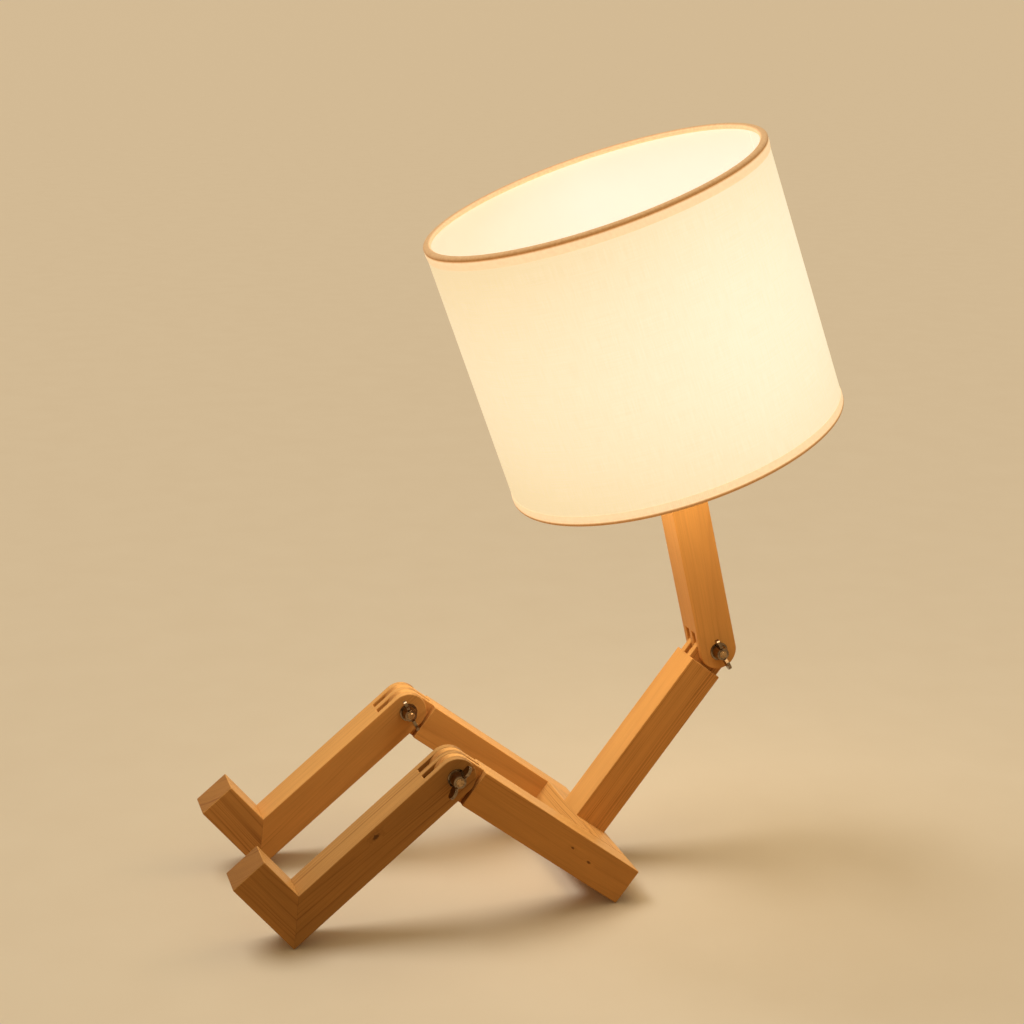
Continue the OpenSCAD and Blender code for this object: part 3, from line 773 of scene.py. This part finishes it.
NOTCH_DEPTH = 6.8
notch_reach = (NUT_RADIUS + NOTCH_RADIUS / 2) * MM

holder_cap = rounded(turned("lampholder_cap", CAP_OUTLINE), 0.3)
holder_skirt = rounded(turned("lampholder_skirt", SKIRT_OUTLINE), 0.3)
ring_nut = turned("fitter_ring_nut", NUT_OUTLINE)
for i in range(NOTCHES):
    turn = 2 * math.pi * i / NOTCHES
    drill(ring_nut, NOTCH_RADIUS * MM, turn=(0, 0, 0), depth=NOTCH_DEPTH * MM,
          place=(notch_reach * math.cos(turn), notch_reach * math.sin(turn), NUT_SEAT * MM))
rounded(ring_nut, 0.35)
for piece, node in ((holder_cap, "holder_cap"), (holder_skirt, "holder_shell"),
                    (ring_nut, "shade_ring")):
    finished(piece, shade_axes, node, angle=45)

# %% [markdown]
# ## Bulb
# The LED bulb has a white body that flares to the rim of an opal dome. The dome's outline is an arc
# that runs up to the axis, and a second arc inside gives its wall.

# %% Make the bulb
DOME_RADIUS = 27.5
DOME_CENTRE = 93
DOME_WALL = 1.2
BODY_TOP = 85


def rim_angle(radius):
    """Where a dome of this radius meets the body, in degrees above its middle."""
    return math.degrees(math.asin((BODY_TOP - DOME_CENTRE) / radius))


inner_radius = DOME_RADIUS - DOME_WALL
rim_radius = DOME_RADIUS * math.cos(math.radians(rim_angle(DOME_RADIUS)))
bulb_shell = turned("bulb_shell", [
    (0, 51), (13.6, 51), (14.4, 52), (14.6, 55), (16, 61), (19.4, 70), (23.2, 79), (25.4, 83.5),
    (rim_radius, BODY_TOP), (rim_radius - 2, BODY_TOP), (rim_radius - 2, BODY_TOP - 1),
    (0, BODY_TOP - 1)])
dome_outline = (arc((0, DOME_CENTRE), DOME_RADIUS, rim_angle(DOME_RADIUS), 90, 26)
                + arc((0, DOME_CENTRE), inner_radius, 90, rim_angle(inner_radius), 26))
bulb_globe = turned("bulb_globe", dome_outline + dome_outline[:1])
finished(bulb_shell, shade_axes, "bulb_body", angle=45)
finished(bulb_globe, shade_axes, "bulb_dome", angle=45)

# %% [markdown]
# ## Cord bush
# A black nylon bush lines the hole in the neck's back face, where the mains lead enters. Its flange
# lies on the wood, and its mouth is well rounded so that it can't chafe the lead.

# %% Make the bush
BUSH_RISE = 2
BUSH_OUTLINE = [(3.2, -8), (4.5, -8), (4.5, 0), (6.5, 0), (6.5, 1.1), (5.6, BUSH_RISE),
                (4.1, BUSH_RISE), (3.2, 1.3), (3.2, -8)]
inlet = mount_axis("cord_inlet")
bush = rounded(turned("inlet_bush", BUSH_OUTLINE, steps=64), 0.25)
finished(bush, axes(mount_place("cord_inlet") - BUSH_RISE * MM * inlet, inlet), "cord_bush",
         angle=45)

# %% [markdown]
# ## Trees of nodes
# Each finish is a tree of nodes that ends in one Principled shader. Patterns read the piece's own
# coordinates, so they stay on the piece when it moves, and the axes that the piece was modelled in
# turn them, so that a grain runs along its bar. The surroundings and the bulb's light are small
# trees as well.

# %% Short ways to add nodes
NOISE_RANGE = (0.3, 0.7)


def linear(red, green, blue):
    """A colour from the usual 0 to 255 values, as the shader wants it."""
    def curve(value):
        value /= 255
        return value / 12.92 if value <= 0.04045 else ((value + 0.055) / 1.055) ** 2.4
    return (curve(red), curve(green), curve(blue), 1)


class Tree:
    """The tree of nodes of a material, a light or the world."""

    def __init__(self, owner):
        owner.use_nodes = True
        self.nodes = owner.node_tree.nodes
        self.links = owner.node_tree.links

    def connect(self, node, sockets):
        for socket, value in sockets.items():
            if isinstance(value, bpy.types.NodeSocket):
                self.links.new(value, node.inputs[socket])
            else:
                node.inputs[socket].default_value = value

    def add(self, kind, sockets, output=0, **settings):
        """Adds a node, joins its inputs, and returns one of its outputs."""
        node = self.nodes.new("ShaderNode" + kind)
        for setting, value in settings.items():
            setattr(node, setting, value)
        self.connect(node, sockets)
        return node.outputs[output]

    def maths(self, operation, first, second=0.0):
        return self.add("Math", {0: first, 1: second}, operation=operation)

    def times(self, first, second):
        return self.maths("MULTIPLY", first, second)

    def plus(self, first, second):
        return self.maths("ADD", first, second)

    def looked_at(self):
        """1 for rays from the camera, straight, mirrored or through glass, and 0 for others."""
        rays = self.add("LightPath", {}).node.outputs
        first = self.maths("MAXIMUM", rays["Is Camera Ray"], rays["Is Glossy Ray"])
        return self.maths("MAXIMUM", first, rays["Is Transmission Ray"])


class Recipe(Tree):
    """A material's tree, with its Principled shader."""

    def __init__(self, name, **shader):
        self.material = bpy.data.materials.new(name)
        super().__init__(self.material)
        self.shader = self.nodes["Principled BSDF"]
        self.coordinates = self.nodes.new("ShaderNodeTexCoord").outputs
        self.set(**shader)

    def set(self, **sockets):
        """Sets the shader's sockets, which have spaces in their names."""
        self.connect(self.shader, {socket.replace("_", " "): sockets[socket] for socket in sockets})

    def vector(self, operation, first, second=(0, 0, 0), output=0):
        return self.add("VectorMath", {0: first, 1: second}, output, operation=operation)

    def scaled(self, place, *factors):
        """A place with each of its coordinates multiplied, to stretch the pattern that reads it."""
        return self.vector("MULTIPLY", place, factors)

    def length(self, vector):
        return self.vector("LENGTH", vector, output=1)

    def split(self, vector):
        """The three coordinates of a vector."""
        return list(self.add("SeparateXYZ", {0: vector}).node.outputs)

    def stretch(self, value, low, high, to_low=0.0, to_high=1.0, smooth_step=False):
        """Maps a range of values on another, and stops at its ends."""
        return self.add("MapRange", {"Value": value, "From Min": low, "From Max": high,
                                     "To Min": to_low, "To Max": to_high},
                        interpolation_type="SMOOTHSTEP" if smooth_step else "LINEAR")

    def spread(self, noise, to_low=0.0, to_high=1.0):
        """Maps the values that most of a noise has on others."""
        return self.stretch(noise, *NOISE_RANGE, to_low, to_high)

    def noise(self, place, scale=1.0, detail=2.0, output=0):
        return self.add("TexNoise", {"Vector": place, "Scale": scale, "Detail": detail}, output)

    def noise_along(self, value, scale, detail):
        """Noise that changes with a single value."""
        return self.add("TexNoise", {"W": value, "Scale": scale, "Detail": detail},
                        noise_dimensions="1D")

    def mix(self, share, first, second):
        return self.add("MixRGB", {"Fac": share, "Color1": first, "Color2": second})

    def millimetres(self, place=Matrix.Identity(4)):
        """Where a point is in the given axes, in millimetres."""
        back = place.inverted()
        return self.add("Mapping", {"Vector": self.coordinates["Object"],
                                    "Location": back.translation / MM,
                                    "Rotation": back.to_euler(), "Scale": (1 / MM,) * 3})

    def bump(self, height, depth):
        """Roughens the surface by the height pattern, to a depth in millimetres."""
        self.set(Normal=self.add("Bump", {"Height": height, "Strength": 1, "Distance": depth * MM}))


def paint(material, *names):
    """Gives the named pieces this material and no other."""
    for name in names:
        piece = bpy.data.objects[name]
        piece.data.materials.clear()
        piece.data.materials.append(material)
    print(material.name, "on", *names)


# %% [markdown]
# ## Lacquered pine
# Pine shows its growth rings: pale early wood that darkens to a thin line of late wood. The rings
# are cylinders about the pith of the tree, so one pattern in space gives lines along a bar's faces
# and arcs on its ends. Each bar was sawn from another place beside the pith, so each gets a pith, a
# spacing and a lean of its own. The rings sway a little, their spacing changes with the years, and
# knots push them aside.

# %% Make the pine
EARLY_WOOD = linear(228, 170, 97)
LATE_WOOD = linear(140, 80, 32)
KNOT_WOOD = linear(78, 40, 16)
END_WOOD = linear(174, 115, 54)
SWAY = 5
YEARS = 1.6
RING_START = 0.15
RING_TONES = ((0.3, 0.03), (0.7, 0.3), (0.9, 1.0))
FACE = half_bar / MM


def grey(tone):
    return (tone, tone, tone, 1)


def growth_rings(recipe, place, pith, gap, lean, knots):
    """Share of late wood, from rings about a pith that lies beside the bar."""
    sway = recipe.noise(recipe.scaled(place, 0.03, 0.03, 0.008), detail=1, output=1)
    sway = recipe.scaled(recipe.vector("SUBTRACT", sway, (0.5, 0.5, 0.5)), SWAY, SWAY, 0)
    beside = recipe.add("Mapping", {"Vector": recipe.vector("ADD", place, sway),
                                    "Rotation": (lean[0], lean[1], 0),
                                    "Location": (-pith[0], -pith[1], 0)})
    radius = recipe.length(recipe.scaled(beside, 1, 1, 0))
    years = recipe.noise_along(radius, scale=0.13, detail=1)
    radius = recipe.plus(radius, recipe.spread(years, -YEARS * gap, YEARS * gap))
    for knot, size in knots:
        radius = recipe.plus(radius, recipe.stretch(knot_distance(recipe, place, knot), size,
                                                    3.5 * size, 0.6 * gap, 0, True))
    age = recipe.maths("FRACT", recipe.maths("DIVIDE", radius, gap))
    ramp = recipe.add("ValToRGB", {"Fac": age})
    stops = ramp.node.color_ramp.elements
    for stop in stops:
        stop.color = grey(RING_START)
    for where, tone in RING_TONES:
        stops.new(where).color = grey(tone)
    decade = recipe.noise_along(radius, scale=0.12, detail=0)
    fade = recipe.noise(recipe.scaled(place, 0.1, 0.1, 0.02), detail=1)
    return recipe.times(ramp, recipe.times(recipe.stretch(decade, 0.35, 0.6, 0.3, 1.0),
                                           recipe.stretch(fade, 0.35, 0.6, 0.5, 1.0)))


def knot_distance(recipe, place, knot):
    """Distance from a knot's middle line, which runs across the bar, in millimetres."""
    away = recipe.scaled(recipe.vector("SUBTRACT", place, knot), 0, 1, 0.5)
    ragged = recipe.spread(recipe.noise(place, scale=0.9), 0.75, 1.3)
    return recipe.times(recipe.length(away), ragged)


def pine(name, place_axes, pith, gap, lean, contrast, tone, knots):
    """Pine with its pith and the gap of its rings in millimetres, and its lean in radians."""
    recipe = Recipe(name, Specular_IOR_Level=0.12)
    place = recipe.millimetres(place_axes)
    late = growth_rings(recipe, place, pith, gap, lean, knots)
    fibre = recipe.noise(recipe.scaled(place, 1.7, 1.7, 0.035), detail=3)
    cloud = recipe.noise(recipe.scaled(place, 0.05, 0.05, 0.012))
    colour = recipe.mix(recipe.times(late, contrast), EARLY_WOOD, LATE_WOOD)
    facing = recipe.add("Mapping", {"Vector": recipe.coordinates["Normal"],
                                    "Rotation": place_axes.inverted().to_euler()},
                        vector_type="VECTOR")
    end = recipe.stretch(recipe.maths("ABSOLUTE", recipe.split(facing)[2]), 0.75, 0.97, 0, 0.75)
    colour = recipe.mix(end, colour, recipe.mix(late, END_WOOD, LATE_WOOD))
    for knot, size in knots:
        core = recipe.stretch(knot_distance(recipe, place, knot), 0.5 * size, 1.4 * size, 0.75, 0,
                              True)
        colour = recipe.mix(core, colour, KNOT_WOOD)
    # The bar's tone scales its whole colour, partly as the wood's own tone and partly as painted
    # shade.
    depth = recipe.plus(recipe.spread(fibre, tone - 0.06, tone + 0.04),
                        recipe.spread(cloud, -0.05, 0.05))
    toned_with_painted_shade = recipe.add("VectorMath", {0: colour, "Scale": depth}, operation="SCALE")
    recipe.set(Base_Color=toned_with_painted_shade, Roughness=recipe.stretch(fibre, 0.2, 0.8, 0.46, 0.34))
    recipe.bump(recipe.plus(late, recipe.times(fibre, 1.5)), 0.025)
    return recipe.material


# Columns: pith, ring gap, lean, contrast of the late wood, tone and knots. The tone is partly the
# wood's own and partly painted shade: the left leg's shin, foot and thigh are darkest because that
# leg lies in shade, and the other bars' tones also differ partly by how much light falls on them.
timber_with_painted_shade = {
    "left_shin": ((-40, 22), 2.4, (0.006, 0.012), 0.6, 0.59, [((FACE, 7.2, 59.5), 1.4)]),
    "right_shin": ((-52, -30), 3.6, (-0.01, 0.008), 0.4, 0.87, []),
    "left_foot": ((-44, 26), 2.4, (0.01, -0.02), 0.5, 0.62, []),
    "right_foot": ((-34, 30), 2.7, (0.02, 0.01), 0.6, 0.76, []),
    "left_thigh": ((-70, 22), 3.4, (0.008, -0.012), 0.35, 0.85,
                   [((FACE, -2.4, 93.6), 0.7), ((FACE, -0.1, 109.2), 0.8)]),
    "right_thigh": ((-64, -20), 3.4, (-0.006, 0.01), 0.4, 0.97, []),
    "hip_cross_block": ((16, -42), 2.4, (0.015, 0.01), 0.75, 0.87, []),
    "torso_bar": ((0, 52), 2.8, (0.008, 0.004), 0.8, 0.94, []),
    "neck_bar": ((-66, 24), 4.0, (0.006, 0.01), 0.2, 0.98, []),
}
for name, wood in timber_with_painted_shade.items():
    paint(pine(f"pine_{name}", bar_axes[name], *wood), name)

# %% [markdown]
# ## Beech dowels
# The dowels are hidden in the joints. Beech has no strong rings, only short dark flecks.

# %% Make the beech
beech = Recipe("beech", Roughness=0.6)
flecks = beech.noise(beech.scaled(beech.millimetres(), 2.2, 2.2, 0.8), detail=3)
beech.set(Base_Color=beech.mix(beech.stretch(flecks, 0.4, 0.7), linear(224, 188, 140),
                               linear(196, 150, 102)))
beech.bump(flecks, 0.02)
paint(beech.material, "hip_dowels", "mitre_dowel_left", "mitre_dowel_right")

# %% [markdown]
# ## Metals
# Nickel plate is smooth, and its dark warm colour is partly its own and partly painted reflection of
# the brown wood round it. Zinc on the bolts has a yellow tint, partly a yellow passivation and partly
# painted reflection of the wood, and brass is yellow. All three get the same kind of wear: cloudy
# patches in the polish, and hair-fine scratches.

# %% Make the metals
def plated(name, bright, dull, smoothest, roughest, scratch):
    recipe = Recipe(name, Metallic=1)
    place = recipe.millimetres()
    clouds = recipe.noise(place, scale=0.35, detail=3)
    recipe.set(Base_Color=recipe.mix(recipe.stretch(clouds, 0.35, 0.7), bright, dull),
               Roughness=recipe.spread(clouds, smoothest, roughest))
    recipe.bump(recipe.noise(recipe.scaled(place, 9, 1.2, 1.2)), scratch)
    return recipe.material


# Both plated colours below are partly the metals' own and partly painted reflection of the wood.
nickel = plated("nickel", linear(146, 124, 98), linear(98, 79, 60), 0.1, 0.22, 0.006)
zinc = plated("zinc", linear(184, 148, 104), linear(142, 110, 74), 0.2, 0.34, 0.01)
brass = plated("pressed_brass", linear(226, 190, 110), linear(176, 138, 70), 0.22, 0.38, 0.008)
paint(nickel, *[f"{hinge}_nut" for hinge in hinges], *[f"{hinge}_washer_pair" for hinge in hinges],
      "fitter_ring", "spider_arms", "ring_top", "ring_bottom", "bulb_cap")
paint(zinc, *[f"{hinge}_hinge_bolt" for hinge in hinges], "torso_screws", "holder_nipple",
      "nipple_nut")
paint(brass, "holder_sleeve", "holder_contact", "terminal_screws", "bulb_contact")

# %% [markdown]
# ## Plastics
# The lampholder is a moulded thermoset with a satin skin, the core is matt and slightly chalky, the
# bulb's body is smooth and white, and the bush is black nylon. Moulded parts differ in their tone
# and in how grainy the skin is.

# %% Make the plastics
def moulded(name, colour, shade, roughness, grain, depth):
    recipe = Recipe(name)
    place = recipe.millimetres()
    skin = recipe.noise(place, scale=grain, detail=3)
    flow = recipe.noise(place, scale=0.05, detail=1)
    recipe.set(Base_Color=recipe.mix(recipe.spread(flow), colour, shade),
               Roughness=recipe.spread(skin, roughness - 0.05, roughness + 0.08))
    recipe.bump(skin, depth)
    return recipe.material


paint(moulded("holder_thermoset", linear(238, 234, 224), linear(226, 221, 208), 0.34, 1.4, 0.01),
      "lampholder_cap", "lampholder_skirt", "fitter_ring_nut")
paint(moulded("core_ceramic", linear(230, 226, 214), linear(214, 208, 194), 0.55, 2.2, 0.02),
      "holder_core")
paint(moulded("bulb_body_plastic", linear(240, 238, 232), linear(230, 228, 220), 0.4, 1.1, 0.008),
      "bulb_shell", "led_board")
paint(moulded("black_nylon", linear(34, 32, 30), linear(24, 22, 21), 0.45, 2.0, 0.015),
      "inlet_bush", "bulb_insulator")

# %% [markdown]
# ## Glowing fabric
# With the bulb on, the fabric is its own soft lamp. The shader adds a warm emission to the white
# cloth, strongest at half height and falling off towards the rims and the front. Thick places in the
# threads let less light through, so they show in the glow as well as in the relief. The liner inside
# shines more evenly, most of all beside the top of the bulb.

# %% Make the fabric
THREAD_WIDTH = 0.6
SLUB_LENGTH, SLUB_WIDTH = 30, 0.7
SLUB_RANGE = (0.7, 1.3)
FABRIC_GLOW, LINER_GLOW = 0.88, 0.51
UV_HEIGHT = 0.5
LINER_PEAK = 112
LINER_REACH = 60
drum_round = 2 * math.pi * drum_radius
map_height = drum_height / UV_HEIGHT


def weave(recipe):
    """A plain weave on the drum's UV map, and the thick places in its threads."""
    flat = recipe.coordinates["UV"]
    threads = [recipe.maths("SINE", recipe.times(along, math.pi * length / THREAD_WIDTH))
               for along, length in zip(recipe.split(flat), (drum_round, map_height))]
    slubs = [recipe.noise(recipe.scaled(flat, drum_round / across, map_height / upward, 1))
             for across, upward in ((SLUB_LENGTH, SLUB_WIDTH), (SLUB_WIDTH, SLUB_LENGTH))]
    return recipe.times(*threads), recipe.plus(*slubs)


def glow_share(recipe, place, peak, reach, loss):
    """1 at the peak height of the back, and less above, below and towards the front."""
    depth, height = recipe.split(place)[1:]
    away = recipe.stretch(recipe.maths("ABSOLUTE", recipe.maths("SUBTRACT", height, peak)), 0, reach)
    front = recipe.stretch(depth, -drum_radius, drum_radius / 4, loss, 0)
    lost = recipe.plus(recipe.times(loss, recipe.times(away, away)), front)
    return recipe.maths("SUBTRACT", 1, lost)


fabric = Recipe("shade_linen", Roughness=0.85, Sheen_Weight=0.2, Sheen_Roughness=0.5)
pattern, slub = weave(fabric)
share = fabric.times(glow_share(fabric, fabric.millimetres(shade_axes), mid_height,
                                drum_height / 2, 0.08),
                     fabric.stretch(slub, *SLUB_RANGE, 1.0, 0.96))
fabric.set(Base_Color=fabric.mix(fabric.stretch(slub, *SLUB_RANGE), linear(206, 196, 172),
                                 linear(194, 182, 156)),
           Emission_Color=fabric.mix(fabric.stretch(share, 0.85, 1.0), linear(255, 237, 191),
                                     linear(255, 249, 221)),
           Emission_Strength=fabric.times(share, FABRIC_GLOW))
fabric.bump(fabric.plus(pattern, slub), 0.04)

liner = Recipe("shade_liner", Roughness=0.55)
place = liner.millimetres(shade_axes)
cloud = liner.noise(place, scale=0.04)
share = glow_share(liner, place, LINER_PEAK, LINER_REACH, 0.2)
liner.set(Base_Color=liner.mix(cloud, linear(234, 227, 210), linear(228, 220, 201)),
          Emission_Color=liner.mix(liner.stretch(share, 0.84, 1.0), linear(255, 247, 220),
                                   linear(255, 253, 246)),
          Emission_Strength=liner.times(share, LINER_GLOW))
liner.bump(cloud, 0.05)
drum.data.materials.clear()
drum.data.materials.append(fabric.material)
drum.data.materials.append(liner.material)
to_shade_axes = shade_axes.inverted()
for face in drum.data.polygons:
    middle_of_face = to_shade_axes @ face.center
    face.material_index = int(middle_of_face.xy.length < (drum_radius - DRUM_WALL / 2) * MM)
print("drum faces of fabric and of liner:",
      [sum(face.material_index == index for face in drum.data.polygons) for index in range(2)])

# %% [markdown]
# ## Hem tape
# The tape is a tan ribbed weave. Its flat band and the inner side of its roll let the glow pass, and
# the top and the outside of the roll, which hide the wire, stay tan. Where the light only just comes
# through it turns orange. Height and radius decide how much the tape shines.

# %% Make the tape
TAPE_GLOW = (0.12, 0.78)
tape = Recipe("hem_tape", Roughness=0.8, Sheen_Weight=0.25, Sheen_Roughness=0.5)
place = tape.millimetres(shade_axes)
to_side, to_back, height = tape.split(place)
radius = tape.length(tape.scaled(place, 1, 1, 0))
below_roll = tape.stretch(height, high_wire - ROLL_RISE, high_wire - 0.4, 1, 0, True)
# Along the bottom edge of the lower hem the glow stops a little above the wire, which the roll hides
# there; the dark line this leaves is partly painted shade under the roll.
above_shaded_edge = tape.stretch(height, low_wire - 0.2, low_wire + 1.2, 0, 1, True)
inside = tape.stretch(radius, roll_centre - 2.2, roll_centre - 0.8, 1, 0, True)
lit = tape.maths("MAXIMUM", tape.times(below_roll, above_shaded_edge), tape.times(inside, 0.68))
angle = tape.maths("ARCTAN2", to_back, to_side)
ribs = tape.maths("SINE", tape.times(angle, drum_radius * math.pi / THREAD_WIDTH))
worn = tape.noise(place, scale=0.5, detail=3)
tape.set(Base_Color=tape.mix(tape.stretch(worn, 0.35, 0.7), linear(234, 197, 150),
                             linear(220, 181, 134)),
         Emission_Color=tape.mix(lit, linear(255, 184, 110), linear(255, 229, 182)),
         Emission_Strength=tape.times(tape.stretch(lit, 0, 1, *TAPE_GLOW),
                                      tape.spread(worn, 1.0, 0.92)))
tape.bump(tape.plus(ribs, worn), 0.02)
paint(tape.material, "upper_hem", "lower_hem")

# %% [markdown]
# ## Opal dome
# The dome is milky and lit from inside, brightest at the top and a little dimmer at the rim. Its
# glow and the light on it together stay near white, so that it keeps its round shape.

# %% Make the dome's material
DOME_GLOW = (0.42, 0.55)
opal = Recipe("opal", Roughness=0.3)
place = opal.millimetres(shade_axes)
rise = opal.stretch(opal.split(place)[2], BODY_TOP, DOME_CENTRE + DOME_RADIUS)
opal.set(Base_Color=linear(232, 228, 218),
         Emission_Color=opal.mix(rise, linear(255, 240, 214), linear(255, 250, 236)),
         Emission_Strength=opal.stretch(rise, 0, 1, *DOME_GLOW))
opal.bump(opal.noise(place, scale=0.8), 0.01)
paint(opal.material, "bulb_globe")

# %% [markdown]
# ## Floor
# The lamp stands on a plain pale floor, which is wide enough to reach past the picture's upper edge.
# What the floor throws back on the bars is a darker honey colour, as from a table of plain wood.

# %% Make the floor
FLOOR_SIZE = 200
floor = added("floor", bpy.ops.mesh.primitive_plane_add, size=FLOOR_SIZE)
ground = Recipe("pale_floor", Roughness=0.7, Specular_IOR_Level=0.2)
pale = ground.mix(ground.noise(ground.millimetres(), scale=0.02), linear(230, 218, 196),
                  linear(226, 213, 190))
ground.set(Base_Color=ground.mix(ground.looked_at(), linear(176, 128, 62), pale))
paint(ground.material, "floor")

# %% [markdown]
# ## Lights
# A broad overhead light gives the tops of the bars their honey colour. At the bulb's dome a soft
# lamp rides on the neck, so that neck, torso and knees are lit from the shade at every pose. Drum,
# hems and dome already glow by their materials, so light linking takes them out of its reach and its
# shadows. A weak disc under the shade stands for the glow of the fabric.

# %% Make the lights
def light(name, kind, place=(0, 0, 0), towards=(0, 0, -1), **settings):
    lamp = bpy.data.objects.new(name, bpy.data.lights.new(name, kind))
    bpy.context.scene.collection.objects.link(lamp)
    lamp.location = place
    lamp.rotation_euler = Vector(towards).to_track_quat("-Z", "Y").to_euler()
    for setting, value in settings.items():
        setattr(lamp.data, setting, value)
    return lamp


def let_off(name, pieces):
    """A collection that takes its pieces out of a light's reach or out of its shadows."""
    group = bpy.data.collections.new(name)
    for piece in pieces:
        group.objects.link(bpy.data.objects[piece])
    for member in group.collection_objects:
        member.light_linking.link_state = "EXCLUDE"
    return group


light("overhead", "SUN", towards=(0.25, 0.32, -0.9), color=(1.0, 0.95, 0.88), energy=1.4,
      angle=math.radians(30))

bulb_light = light("bulb_light", "POINT", shade_axes @ Vector((0, 0, DOME_CENTRE * MM)),
                   color=(1.0, 0.91, 0.78), energy=11, shadow_soft_size=0.07)
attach(bulb_light, "neck")
glow = Tree(bulb_light.data)
falloff = glow.add("LightFalloff", {"Strength": 1, "Smooth": 0.3}, "Quadratic")
glow.connect(glow.nodes["Emission"], {"Strength": falloff})
glowing = ["fabric_drum", "upper_hem", "lower_hem", "bulb_globe", "floor"]
inside_shade = ["bulb_shell", "lampholder_cap", "lampholder_skirt", "fitter_ring_nut",
                "bulb_cap", "holder_sleeve", "holder_core", "fitter_ring"]
bulb_light.light_linking.receiver_collection = let_off("glows_by_itself", glowing)
bulb_light.light_linking.blocker_collection = let_off("casts_no_shade", glowing + inside_shade)

under_shade = light("under_shade", "AREA", shade_axes @ Vector((0, 0, (low_wire - 3.5) * MM)),
                    towards=-up_shade, color=(1.0, 0.76, 0.46), energy=0.2, shape="DISK",
                    size=1.7 * drum_radius * MM)
under_shade.visible_camera = False
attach(under_shade, "neck")

# %% [markdown]
# ## Surroundings
# A weak warm light from all round fills the sides that the lamps don't reach. The camera and the
# mirroring metal see a plain backdrop in the floor's far colour instead.

# %% Make the world
FILL = 0.42
world = bpy.data.worlds.new("studio")
bpy.context.scene.world = world
sky = Tree(world)
fill = sky.nodes["Background"]
sky.connect(fill, {"Color": (1.0, 0.76, 0.44, 1), "Strength": FILL})
backdrop = sky.add("Background", {"Color": linear(211, 187, 150)})
chosen = sky.add("MixShader", {0: sky.looked_at(), 1: fill.outputs[0], 2: backdrop})
sky.connect(sky.nodes["World Output"], {0: chosen})
print("fill of the surroundings:", FILL)

# %% [markdown]
# ## Camera
# The camera stands in front of the lamp's left side, a little above the shade's lower rim, and looks
# slightly down. The colours are shown as they are, without a film curve.

# %% Place the camera
CAMERA_PLACE = (1.1302, -0.3644, 0.5629)
CAMERA_TURN = 17.466
CAMERA_DOWN = 15.11
IMAGE_SIZE = 1024
FOCAL_PIXELS = 1950.8

heading, dip = math.radians(CAMERA_TURN), math.radians(CAMERA_DOWN)
look = Vector((-math.cos(heading) * math.cos(dip), math.sin(heading) * math.cos(dip), -math.sin(dip)))
camera = bpy.data.objects.new("camera", bpy.data.cameras.new("camera"))
bpy.context.scene.collection.objects.link(camera)
camera.location = CAMERA_PLACE
camera.rotation_euler = look.to_track_quat("-Z", "Y").to_euler()
camera.data.sensor_width = 36
camera.data.lens = camera.data.sensor_width * FOCAL_PIXELS / IMAGE_SIZE
bpy.context.scene.camera = camera
bpy.context.scene.view_settings.view_transform = "Standard"
print("lens", round(camera.data.lens, 1), "mm")
